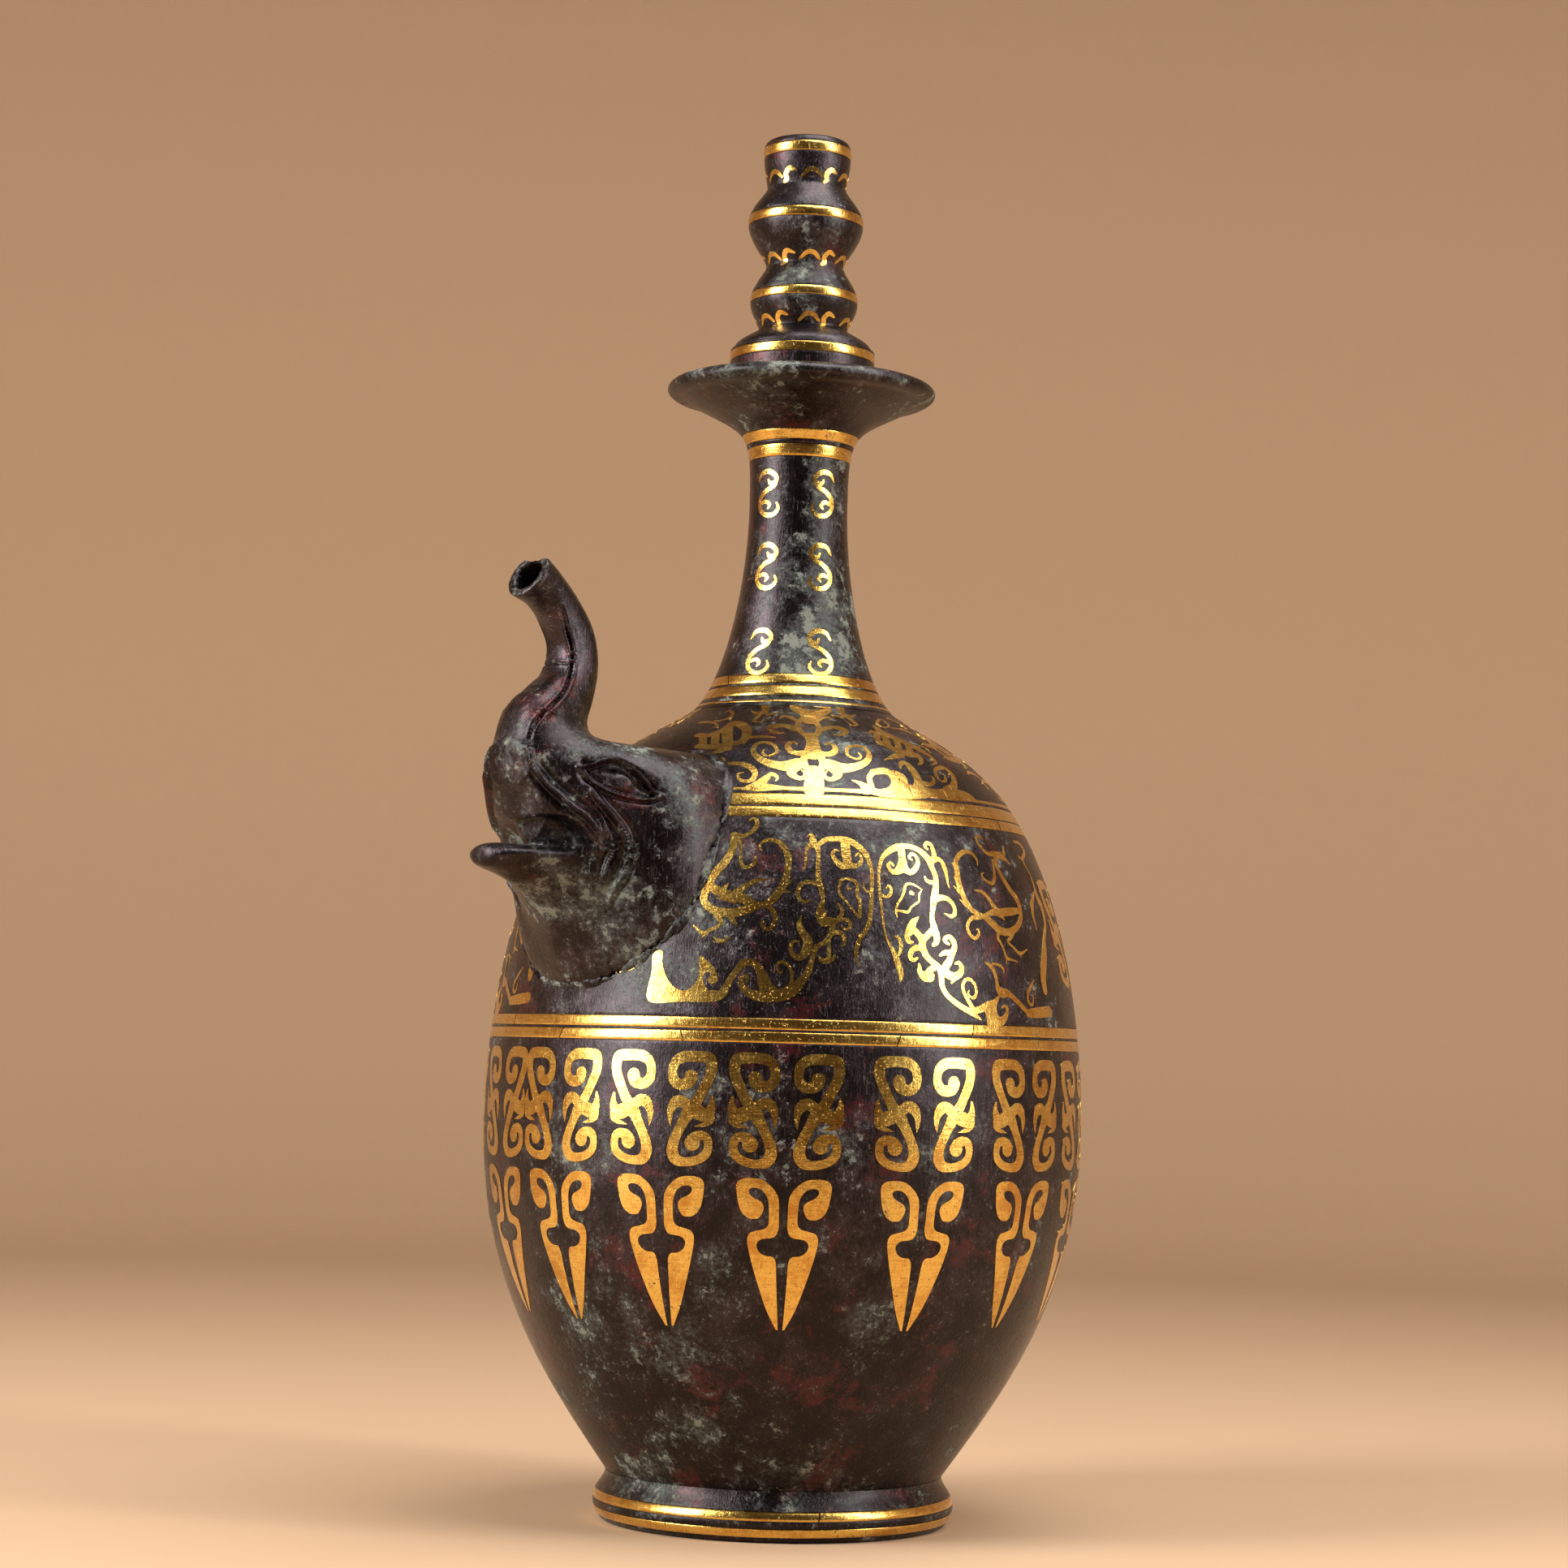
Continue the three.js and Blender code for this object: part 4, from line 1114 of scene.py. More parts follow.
HOOK = [
    (31.3, -20.2), (34.9, -18.7), (37.4, -17.5), (35.8, -20.2), (35.9, -22.2), (36.9, -23.2),
    (38.3, -22.7), (39.3, -21.5), (38.9, -20.7), (37.8, -21.1), (37.6, -20.5), (38.8, -20),
    (40.3, -20.7), (40.2, -22.7), (38.5, -25), (35.8, -26), (32.5, -25.9), (32, -24),
]

print("right half:", len(TREE_RIGHT), "strokes and a hook")

# %% The left-hand half, whose roots end in the wave
TREE_LEFT = [
    [(-16.3, 21.5, 0.3), (-15.2, 22, 0.9), (-15, 20.8, 1.6), (-14.7, 19.3, 1.9), (-14, 18.6, 1.5),
     (-14, 16.1, 1), (-14.4, 13, 1.2), (-14.5, 10.2, 1.5), (-13.9, 7.4, 1.4), (-13.7, 5.3, 1),
     (-14.3, 3.6, 1.6), (-14.5, 1.5, 2.6), (-13.8, -0.6, 2.6), (-11.9, -0.3, 2),
     (-11.9, -2.6, 1.5), (-13.5, -5.3, 1.2), (-15.6, -6.8, 1.2), (-16.8, -8.5, 1.4),
     (-17.5, -11.3, 1), (-18.4, -13.7, 1.1), (-20.2, -16.5, 1.4), (-22.1, -18.6, 1.7),
     (-24.2, -19.6, 2.2)],
    [(-14.7, 19.3, 1.5), (-16, 19.2, 1.2), (-16.9, 17.8, 0.7), (-17.3, 15.7, 0.6),
     (-17.7, 13.6, 0.5), (-18.5, 12.4, 0.2)],
    [(-14.7, 9.1, 1.2), (-17.1, 9.6, 1.1), (-19.1, 8.8, 1.2), (-20.1, 6.9, 1.2), (-19.6, 5, 1),
     (-18.2, 4.4, 0.7), (-17.1, 5.1, 0.5)],
    [(-8.7, 10.4, 0.7), (-7.1, 10.8, 0.7), (-5.2, 10.3, 0.9), (-4.4, 8.8, 0.9), (-4.8, 7, 0.8),
     (-4.2, 5.3, 0.9), (-4.2, 3.2, 1), (-4.5, 0.8, 0.7), (-5.7, 2.3, 0.7), (-7, 3.8, 0.7),
     (-7.9, 5.2, 0.7), (-9.2, 6.5, 0.7), (-9.4, 8.2, 0.7), (-8.7, 10.4, 0.7)],
    [(-6.9, 8.3, 1), (-6.6, 8.3, 1)],
    [(-9.8, 4.1, 0.7), (-8.9, 2.5, 1), (-9.6, 0.8, 1.1), (-10.9, -0.5, 1.4)],
    [(-11.6, -0.5, 1.4), (-9.1, 0.3, 1.2), (-7.4, -0.2, 1.2), (-7.1, -1.4, 1), (-8.2, -2.4, 0.7),
     (-9.4, -1.4, 0.4)],
    [(-12.1, -3.2, 1.5), (-10, -3.2, 1.4), (-8.8, -4.5, 1.2), (-9.1, -6.2, 0.7), (-9.9, -6.8, 0.3)],
    [(-12.8, -5.3, 0.8), (-12.9, -8.4, 1), (-13.5, -10.5, 1.4), (-15.1, -10.3, 1.2),
     (-15.4, -9.4, 0.5)],
    [(-13.4, -10.6, 1.4), (-12, -9.9, 1), (-11.4, -8.5, 0.3)],
    [(-19.6, 0.7, 0.3), (-20.2, -1.4, 1.5), (-19.5, -3.5, 2), (-18.2, -5.5, 2.4),
     (-18.8, -8.1, 2.4), (-20.5, -9.8, 1.8), (-22.3, -9, 1.2), (-22.6, -7, 1), (-21.8, -5.7, 0.8),
     (-20.6, -5.8, 0.5)],
    [(-13.3, 19.7, 1.2), (-11.4, 20.8, 1.4), (-8.5, 21.1, 1.5), (-5.7, 20.8, 1.7),
     (-3.4, 19.5, 1.7), (-1.6, 17.6, 1.5), (-0.7, 15.2, 1.1), (-0.3, 12.4, 1), (-0.7, 8.9, 1),
     (-1, 5.8, 1), (-1.5, 2.6, 1.2), (-2, -0.2, 1.2), (-3.3, -2.6, 1.2), (-4.8, -4.7, 1.2),
     (-5.7, -6.8, 1.2), (-6, -8.5, 1), (-5.7, -10.2, 0.6), (-5.4, -12.1, 0.1)],
    [(-6.6, 19.9, 2.4), (-6.7, 16.7, 2.4), (-6.5, 14.6, 2.2), (-8.2, 14.2, 1.9), (-9.7, 15.6, 1.2),
     (-10.2, 17.1, 1), (-9.4, 18.2, 0.6), (-8.5, 17.9, 0.3)],
    [(-6.3, 14.5, 2.2), (-4.7, 14.2, 1.4), (-3.2, 14.9, 1.1), (-2.7, 16.4, 0.8), (-3.4, 17.5, 0.6),
     (-4.4, 16.6, 0.3)],
    [(-1, 7.5, 1), (-2.2, 7.8, 0.7), (-2.8, 8.8, 0.5), (-2.6, 9.9, 0.3)],
    [(-4.6, -4, 0.9), (-5.7, -3, 0.2)],
]
WAVE = [
    [(6.3, -3.1, 2.6), (8.4, -2.5, 2.4), (9.9, 0.4, 1.7), (11.4, 3, 1.7), (13.3, 5.3, 1.9),
     (15.3, 5.7, 2), (17.1, 4.5, 2), (18.3, 2.3, 2.7), (19.6, -0.7, 3.7), (22.1, -2.5, 3.4),
     (24.8, -1.9, 3.1), (27, -0.2, 2.4), (29.1, 2.3, 1.9), (30.2, 5, 1.5), (30.7, 7.4, 1.2),
     (31.3, 10.2, 1.2)],
    [(20.8, -3.1, 2.7), (17.4, -2.8, 2.6), (14.9, -1.8, 2), (13.4, -0.2, 1.6), (13.1, 1.2, 1.2),
     (14.1, 2.1, 1), (14.9, 1.4, 0.7), (14.5, 0.5, 0.3)],
    [(25.1, -1.2, 1.7), (25.8, 0.8, 1), (25.7, 3.2, 0.9), (24.6, 5.2, 0.9), (23, 6, 0.9),
     (21.9, 5.3, 0.8), (22, 4, 0.7), (22.9, 3.1, 0.6), (23.3, 3.8, 0.3)],
]
SQUARE_FOOT = [
    (-11.1, 7.3), (-8.7, 8.1), (-8.2, 4.6), (-6.3, 0.8), (-3.5, -1.5), (-0.9, -1.7), (1.1, -0.1),
    (2, 2.3), (1.8, 6.8), (3.8, 5.9), (6, 3.8), (7.1, 1.4), (6.6, 0.2), (5.2, 0), (4.1, 0.9),
    (4.7, 1.7), (4.9, 2.7), (4.1, 3), (3.2, 2.2), (3.3, 0.3), (4.8, -1.6), (6.9, -1.8),
    (7.1, -4.4), (-2.1, -4.7), (-11.3, -4.6), (-11.1, 2.8),
]
print("left half:", len(TREE_LEFT), "strokes; wave:", len(WAVE))

# %% The birds and the vessel
BIRD_LEFT = [
    [(-2.5, 13.5, 1.5), (-0.3, 13.2, 1.2), (1.6, 14.3, 1.2), (2.9, 16.1, 1.3), (2.6, 17.5, 1),
     (1.5, 17.9, 0.7), (0.7, 17.3, 0.3)],
    [(-2.8, 13.5, 1.7), (-2.6, 11.2, 2), (-3, 9, 2), (-4.5, 6.2, 2.2), (-6.5, 3.7, 2.4),
     (-8.2, 1.2, 2.7), (-9, -1.2, 2.5), (-9, -3.7, 1.9), (-7.7, -5.4, 2), (-5.1, -6.5, 2.2),
     (-1.2, -6.8, 2.4), (2.2, -6, 2.4), (4.9, -4.9, 1.9), (7.4, -4.2, 1.9), (9.4, -2.3, 2.2),
     (11.2, 0.9, 2), (11.9, 4.4, 1.7), (11.7, 7.9, 1.7), (10, 11, 1.4), (7.8, 12.2, 1.2),
     (5.7, 12.2, 1), (4.3, 11.1, 0.7), (4.5, 9.7, 0.5), (5.1, 9.8, 0.2)],
    [(-8.3, 0.5, 2), (-6, -1, 2.4), (-3, -2.2, 2.4), (-0.2, -2.5, 2.7), (2, -3.5, 2.7),
     (4.2, -4.7, 2)],
    [(7.3, 2, 0.2), (4.9, 1.8, 1), (2.3, 0.7, 1.5), (0.3, -0.8, 1.7), (-1.3, -1.8, 1.7)],
    [(-2.8, 1, 0.2), (-4.2, -0.8, 1.5)],
    [(-5.8, -3.1, 0.2), (-3.6, -3.3, 1), (-0.8, -3.8, 1.4)],
    [(12.6, 8.7, 0.2), (11.9, 7.2, 1.2)],
    [(13.3, 2.1, 0.2), (11.9, 0.9, 1.4)],
    [(13.2, -1.2, 0.2), (11, -0.9, 1.4)],
    [(7.8, -4.8, 1.5), (9.5, -6.8, 1.2), (9.7, -8.9, 1), (8.4, -10.8, 1), (7.1, -10.5, 0.9),
     (6.5, -9.3, 0.7), (7, -8.6, 0.3)],
    [(-1.9, 12.9, 1), (-0.7, 10.8, 0.7), (-0.6, 8.7, 0.7), (-0.2, 6.4, 1), (0.8, 5, 1),
     (2.5, 5.4, 1), (3.5, 6.7, 0.8), (3.4, 7.7, 0.5), (2.8, 7.6, 0.2)],
    [(-5.6, -7.1, 1.5), (-4.1, -9.2, 1.2), (-5.1, -10.6, 0.8), (-7.2, -11.5, 0.9),
     (-8.2, -12.3, 1.2), (-9.7, -11.5, 0.8), (-11.5, -10.1, 0.3)],
    [(-8.2, -12.3, 1), (-8.9, -13.5, 0.2)],
    [(-2.2, -7.1, 1.7), (-0.7, -9, 1.2), (0.2, -10.1, 0.3)],
    [(-1.4, -12.8, 0.2), (-2.8, -14, 1), (-4.5, -13.8, 0.7), (-5.8, -13.1, 0.2)],
    [(-3.8, -14.3, 0.5), (-6, -14.3, 0.2)],
]
BIRD_RIGHT = [
    [(-3.9, 8.2, 0.3), (-3.6, 9.6, 0.8), (-4.5, 11.1, 1.1), (-6.7, 11.7, 1.3), (-9.6, 10.7, 1.4),
     (-11.7, 8.5, 1.5), (-12.2, 6.1, 1.8), (-12.7, 3.4, 2), (-12.4, 0.7, 1.8), (-11.5, -2, 1.7),
     (-9.9, -3.9, 1.6), (-7.5, -5, 1.4), (-4.8, -5.7, 1.8)],
    [(-13.1, 8.6, 0.2), (-12.5, 6.8, 0.9)],
    [(-13.9, 4.6, 0.2), (-13, 3.2, 1)],
    [(-14.8, 2.3, 0.2), (-12.9, 0.5, 1.2)],
    [(-13.7, -1.2, 0.2), (-11.8, -2.7, 1.2)],
    [(-7.7, -5.5, 1.4), (-10.9, -6, 1.1), (-12.8, -7.9, 1), (-12.6, -10.1, 1), (-10.9, -11.2, 0.9),
     (-9.3, -9.9, 0.9), (-9.2, -8.8, 0.7), (-10.1, -8.9, 0.3)],
    [(-5.7, -5.4, 2), (-3.3, -7.1, 2.3), (-0.7, -8.7, 2.3), (3.1, -8.9, 2), (7.3, -7.3, 1.8),
     (9.8, -5.2, 1.6), (10.5, -2.9, 1.8), (10.2, -0.2, 2.2), (8, 2.1, 1.8), (6.2, 4.4, 1.7),
     (4.8, 7, 1.4), (4.3, 9.1, 1.4), (5.4, 11.2, 1.6)],
    [(4.2, 11.7, 1.8), (7.5, 11.5, 2), (9.8, 10.6, 1.3), (11.6, 9.1, 0.2)],
    [(11.2, 14.3, 0.2), (9.9, 12.2, 1.4)],
    [(4.5, 11.7, 1.4), (1.4, 11.8, 1.1), (-0.1, 13.3, 1), (-1, 14.6, 0.9), (-0.8, 15.8, 0.8),
     (0.7, 16.2, 0.7), (1.8, 15.5, 0.4)],
    [(3.1, 10, 0.7), (2.5, 7.3, 0.8), (1.8, 5.2, 1.1), (0.3, 3.7, 1), (-1.6, 4, 0.9),
     (-3.1, 4.9, 0.8), (-3.2, 6, 0.5), (-2.2, 6.3, 0.3)],
    [(-7.8, 1.5, 0.2), (-4.8, 1.1, 1), (-2.8, -0.5, 1.3), (-1.5, -2.3, 1.6), (0.4, -3.8, 2),
     (4.7, -3.5, 2.3), (9.4, -3, 1.6)],
    [(-5, -4.7, 1), (-1.9, -4, 1.8), (0.8, -4.8, 1.3), (2, -5.9, 0.3)],
    [(-1.1, -8.9, 1.6), (-2.3, -10.6, 1), (-1.2, -12.4, 0.8), (-0.5, -14.3, 0.7),
     (0.1, -15.8, 0.9), (2.2, -16.2, 0.7), (4.6, -16.6, 0.2)],
    [(0.1, -15.6, 0.8), (-0.5, -17.4, 0.2)],
    [(4.9, -8.6, 1.6), (3.2, -10.4, 1.1), (1.7, -11.5, 0.9), (3.7, -12.9, 0.7), (6.3, -14.4, 1),
     (10.5, -13.1, 0.3)],
    [(6.3, -14.3, 0.9), (6.7, -15.5, 0.2)],
]
VESSEL = [
    [(-14.9, 23.9, 0.9), (-11.1, 23.7, 1.3), (-9.7, 21.8, 1.3), (-14.5, 19.5, 1.1),
     (-16.6, 20, 0.7)],
    [(-14.5, 19.5, 1), (-14.1, 17.8, 0.6), (-13, 15.1, 0.7), (-13.1, 12.3, 1.2), (-13.3, 9.5, 2.3),
     (-12.2, 7.2, 2.6), (-12.5, 4.1, 2), (-14, 0.9, 1.4), (-16.6, -1.9, 1.4), (-18.7, -5.4, 2.6),
     (-21, -8.9, 3.1), (-23, -12.4, 3.1), (-23.1, -15.8, 2.3)],
    [(-14.9, 10.5, 0.7), (-18.8, 7.2, 1.6), (-20.6, 4, 1.4), (-20.6, 1, 0.7), (-20.9, -0.1, 0.2)],
    [(-28.4, -13, 0.2), (-30.8, -15, 0.9), (-33, -17.1, 0.9), (-33.1, -19.1, 0.9),
     (-31.4, -19.7, 0.7), (-30.4, -17.4, 0.4)],
    [(-33.9, -22, 2.3), (-29.3, -21.7, 2.8), (-22.4, -21.2, 2.9)],
]
print("birds:", len(BIRD_LEFT), "and", len(BIRD_RIGHT), "strokes; vessel:", len(VESSEL))

# %% Three groups round the pot
TREE_ANGLE, TREE_HEIGHT = 17.5, 160.0
FRIEZE = {  # angle, height, strokes, closed shapes
    "tree_right": (TREE_ANGLE, TREE_HEIGHT, TREE_RIGHT, [HOOK]),
    "tree_left": (TREE_ANGLE, TREE_HEIGHT, TREE_LEFT, []),
    "wave": (-18, 143.0, WAVE, [SQUARE_FOOT]),
    "bird_left": (-10, 168.0, BIRD_LEFT, []),
    "bird_right": (48, 168.0, BIRD_RIGHT, []),
    "vessel": (77.5, 160.0, VESSEL, []),
}
GROUPS, GAP_ANGLE = 3, 81.5


def motif(name, angle, height, strokes, shapes=(), outline=body, mirrored=False):
    """One piece of gold from strokes and closed shapes round a middle."""
    side = -1 if mirrored else 1
    drawing = Drawing(outline, height)
    for points in strokes:
        placed = [(side * x, y, w) for x, y, w in points]
        drawing.stroke(turned_to(angle, height, placed, outline))
    for points in shapes:
        placed = [(side * x, y) for x, y in points]
        drawing.outline_shape(turned_to(angle, height, placed, outline))
    return inlay(name, drawing)


for group in range(GROUPS):
    turn = group * 360 / GROUPS
    for key, (angle, height, strokes, shapes) in FRIEZE.items():
        piece = motif(f"gold_{key}_{group}", angle + turn, height, strokes, shapes)
        dress(piece, gold)
    filler = scroll_pair(f"gold_filler_{group}", GAP_ANGLE + turn, TREE_HEIGHT)
    dress(filler, gold)
print(GROUPS, "groups of", len(FRIEZE) + 1, "motifs")

# %% [markdown]
# ### Shoulder, neck and stopper
# Four cloud trees stand on the shoulder. Their trunks carry two round holes and their arms roll up
# into wide spirals. Between them lie two groups of curling beasts and waves, one facing each tree,
# which grow from the thin line round the foot of the shoulder.

# %% A tree of the shoulder
def ring(across, up, radius, width):
    turns = np.linspace(0, 2 * math.pi, 9)
    return [(across + radius * math.cos(t), up + radius * math.sin(t), width) for t in turns]


TRUNK_SIDE = -0.6
SHOULDER_TRUNK = [
    [(1.3, 25.4, 11.5), (1, 23.7, 7.2), (0.6, 21.4, 5.2), (0.2, 20.4, 4.4)],
    ring(-0.4, 18.2, 2.8, 1.6),
    [(-0.2, 15.4, 4), (-0.1, 13.6, 3.4), (-0.4, 11.6, 4.2), (-0.6, 10.2, 5)],
    ring(TRUNK_SIDE, 7.7, 2.6, 2),
    [(-0.8, 5, 5), (-0.9, 4, 5.2), (-0.9, 2.6, 5), (-1.1, 0.3, 5.6)],
]
SHOULDER_ARMS = [
    [(-2.9, 19.9, 1.6), (-3.7, 20.5, 1.5), (-4.9, 21.3, 1.3), (-6.4, 21.6, 1.1), (-7.7, 20.9, 0.4)],
    [(-3.5, 17.3, 2), (-4.6, 17.8, 2), (-6.4, 18.4, 1.9), (-8, 18.5, 2.2), (-10, 18, 2.6),
     (-10.9, 17.4, 1.8), (-9.9, 16.5, 1.4), (-8.5, 16.1, 0.9), (-7.3, 16.5, 0.4)],
    [(-0.6, 10.6, 2.6), (-2.1, 10.4, 2.6), (-4.6, 10.2, 2.1), (-6.3, 10.9, 1.9), (-6.9, 12.1, 1.5),
     (-6.2, 13.3, 1.3), (-5, 13.4, 1), (-4.3, 12.9, 0.4)],
    [(-4.6, 7.4, 4), (-5.6, 7, 4.3), (-7.7, 6.5, 3.9), (-10.3, 6.7, 3), (-13, 7.5, 2.4),
     (-15.1, 8.8, 1.9), (-16.1, 10.4, 1.5), (-15.7, 12.1, 1.3), (-14.2, 13.1, 1.2), (-12, 13.1, 1.1),
     (-10.3, 12.3, 1), (-9.9, 10.6, 0.9), (-11.1, 9.6, 0.9), (-12.8, 9.3, 0.8), (-13.7, 10.1, 0.7),
     (-13.2, 11.1, 0.5)],
    [(-3.6, 7.2, 2.3), (-6.6, 5, 2.6), (-5.6, 3.4, 1.6), (-3.9, 3.2, 1.3), (-3.1, 4.4, 0.8),
     (-3.9, 5.4, 0.4)],
    [(-10.9, 25.4, 2.5), (-11, 23.7, 2.1), (-11.6, 22.4, 1.8)],
    [(-12.1, 22.5, 1.7), (-13.9, 22.5, 1.2), (-15.1, 23.1, 0.4)],
    [(-10.5, 22, 1.6), (-8.7, 22.3, 0.9), (-7.7, 22.7, 0.3)],
    [(-12.8, 21.9, 1.1), (-14.1, 20.7, 1.1), (-14.7, 19.8, 0.8), (-13.1, 19.6, 0.7), (-12, 20.5, 0.4)],
]
SHOULDER_TREE = [
    *SHOULDER_TRUNK,
    *SHOULDER_ARMS,
    *([(2 * TRUNK_SIDE - x, y, w) for x, y, w in stroke] for stroke in SHOULDER_ARMS),
]
print("a tree of the shoulder:", len(SHOULDER_TREE), "strokes")

# %% The groups on either side of a tree
GROUP_RIGHT = [
    [(16, 16.9, 0.3), (17.6, 18.1, 1.3), (18.9, 17.2, 2), (18.4, 15.8, 1.8), (19.7, 14.6, 2.2),
     (22, 13.4, 2.4), (24.9, 12.4, 2.8), (28.1, 12, 2.9), (31, 11.6, 2.2), (31.6, 9.9, 1.3),
     (30.2, 8.9, 0.5)],
    [(19.2, 19.6, 1.6), (20.5, 18.4, 2.8), (22.6, 17.3, 3.2), (24.9, 16.4, 3), (28.3, 15.4, 3),
     (31.3, 14.2, 3.2), (34, 12.9, 2.3), (36.4, 11.7, 1.6), (37.2, 10.1, 1.1), (35.1, 9.3, 0.3)],
    [(21.3, 16.8, 2.2), (21.4, 13.6, 2.2)],
    [(24.9, 15.6, 2), (24.8, 12.4, 2)],
    [(28.6, 15, 2.2), (28.5, 12, 2.2)],
    [(31.7, 13.1, 0.6), (33.6, 14.9, 0.8), (36.1, 14.4, 0.8), (36.9, 12.9, 0.5)],
    [(24.7, 11.4, 2.4), (22.2, 10.6, 1.7), (19.4, 9.6, 0.3)],
    [(20.5, 21.2, 0.9), (22.4, 22.4, 0.9), (24.5, 21.7, 0.9), (24.6, 20.4, 0.9), (22.4, 19.8, 0.9),
     (20.6, 20.9, 0.9)],
    [(9.2, 3.1, 0.3), (11.2, 2.4, 1.4), (13.1, 1.2, 2.8), (16, 0.1, 2.4), (19.4, 0.2, 3.2),
     (23.4, 0.6, 4.4), (26.7, 1, 4.8), (30.1, 0.6, 3.3), (32.4, 0, 0.4)],
    [(15.4, 5.8, 2), (19.1, 6.2, 2.6), (21.4, 4.4, 2.6), (21.2, 1.9, 2.6), (18.7, 0.3, 2)],
    [(14.3, 1.8, 1.7), (14.1, 4.2, 1.5), (15.4, 5.8, 1.6)],
    [(21.8, 5.6, 3), (23.9, 4.9, 2.3), (24.2, 2.6, 2.4)],
    [(28.3, 1.1, 4), (28.9, 3.5, 2.7), (28.4, 5.8, 2.5), (27, 8.1, 2.2), (25.3, 9.1, 1.8),
     (24, 8.5, 1.3), (23.8, 7.3, 0.4)],
    [(29.2, 3.8, 2.4), (31.9, 3.4, 1.6), (34, 4, 1.2), (34.4, 5.4, 0.8), (33.3, 5.9, 0.4)],
    [(35.5, 6, 0.5), (36.3, 7.9, 1.3), (39.7, 8.9, 1.6), (42.3, 7.6, 2), (42.9, 5.6, 1.8),
     (41.5, 3.4, 2.4), (38.5, 2.3, 2.4)],
    [(35.9, 7.1, 0.7), (36.6, 5, 0.9), (38.6, 4.8, 0.9), (39.4, 6.2, 0.7), (38.4, 7, 0.5)],
    [(31.4, 1.6, 2.4), (33.9, 1, 3), (38.2, 1, 3.8), (43, 1.2, 4.2), (47.7, 1, 3.2), (50.5, 0.2, 0.8)],
]
GROUP_LEFT = [
    [(-31.9, 15.7, 2.2), (-28.9, 15.4, 2.2), (-27, 15.9, 2.4), (-24.7, 16.7, 2.4), (-22.5, 17.9, 2.6),
     (-20.7, 19.2, 2.8), (-18.8, 18.8, 3), (-17.3, 17.5, 2.8), (-17.3, 15.7, 2.6), (-18.5, 13.9, 2.4),
     (-20.3, 13, 2.2), (-22.9, 12.6, 2.4), (-25.6, 12, 2.4), (-28.4, 11.9, 2.3), (-31.8, 12.2, 2.2)],
    [(-22.7, 17.3, 3), (-22.9, 13, 3)],
    [(-26.3, 15.5, 2.4), (-26.7, 12.3, 2.4)],
    [(-30.2, 15.3, 2.2), (-30.2, 12.3, 2.2)],
    [(-23.1, 11.6, 2.6), (-25.4, 10.7, 2.1), (-27.8, 9.9, 0.8)],
    [(-26.9, 20.2, 0.4), (-23.9, 20.3, 1), (-21.6, 21.2, 1.2), (-20.7, 22.4, 1), (-21.6, 23.3, 0.9),
     (-23.2, 22.9, 0.4)],
    [(-32, 19.9, 0.8), (-28.7, 19.9, 1), (-26.2, 19.2, 1), (-25.8, 18.1, 0.8), (-27.4, 17.6, 0.4)],
    [(-31.8, 8, 0.4), (-29.4, 8.7, 1.3), (-27, 8.7, 1.5), (-24.6, 8.3, 1), (-24.1, 7.4, 0.4)],
    [(-18.1, 14.5, 1.6), (-15, 14.8, 1.4), (-12.5, 14.9, 1.2), (-10, 14.8, 0.6)],
    [(-26, 4.8, 1.3), (-26.3, 6, 1.1), (-24.5, 6.7, 1.1), (-22.2, 7, 1.4), (-19.4, 6.8, 1.6),
     (-17, 5.7, 1.8), (-16.2, 4, 1.5), (-17.2, 2.4, 1.5), (-19, 2, 1.2), (-20.6, 2.7, 0.9),
     (-20.7, 4, 0.8), (-19.4, 4.4, 0.5)],
    [(-19.5, 0, 1), (-16.7, 0.6, 2.6), (-14.5, 1.9, 2.6), (-13.1, 3.2, 1.7), (-11.8, 4.1, 1.3),
     (-10.4, 3.2, 0.9), (-11, 2.2, 0.3)],
    [(-16.2, 0.3, 2.6), (-12.9, 0.4, 2.2), (-9, 0.3, 1.2), (-5, 0.2, 1.2), (0, 0.2, 1.2),
     (9, 0.2, 1.2), (13, 0.2, 2)],
]
print("groups:", len(GROUP_RIGHT), "and", len(GROUP_LEFT), "strokes")

# %% The frieze of the shoulder
SHOULDER_BASE, SHOULDER_TREES, SHOULDER_TREE_ANGLE = 194.0, 4, 6.6
SHOULDER_GROUPS = {"tree": SHOULDER_TREE, "beast_right": GROUP_RIGHT, "beast_left": GROUP_LEFT}
UNDER_HEAD = "gold_shoulder_beast_right_3"
THIN_LINES = {  # outline, height, width, ends
    "shoulder_line": (body, SHOULDER_BASE + 0.1, 1.1,
                      {"start": HEAD_ANGLE + HEAD_COVER, "end": HEAD_ANGLE + 360 - HEAD_COVER}),
    "neck_line": (neck, joint_height + 1.5, 1.0, {}),
}

for k in range(SHOULDER_TREES):
    for key, strokes in SHOULDER_GROUPS.items():
        name = f"gold_shoulder_{key}_{k}"
        if name != UNDER_HEAD:
            angle = SHOULDER_TREE_ANGLE + k * 360 / SHOULDER_TREES
            dress(motif(name, angle, SHOULDER_BASE, strokes), gold)

for name, (outline, height, width, ends) in THIN_LINES.items():
    dress(gold_band(name, outline, height, width, **ends), gold)
print("ornament of the shoulder:", SHOULDER_TREES * len(SHOULDER_GROUPS) - 1, "pieces")

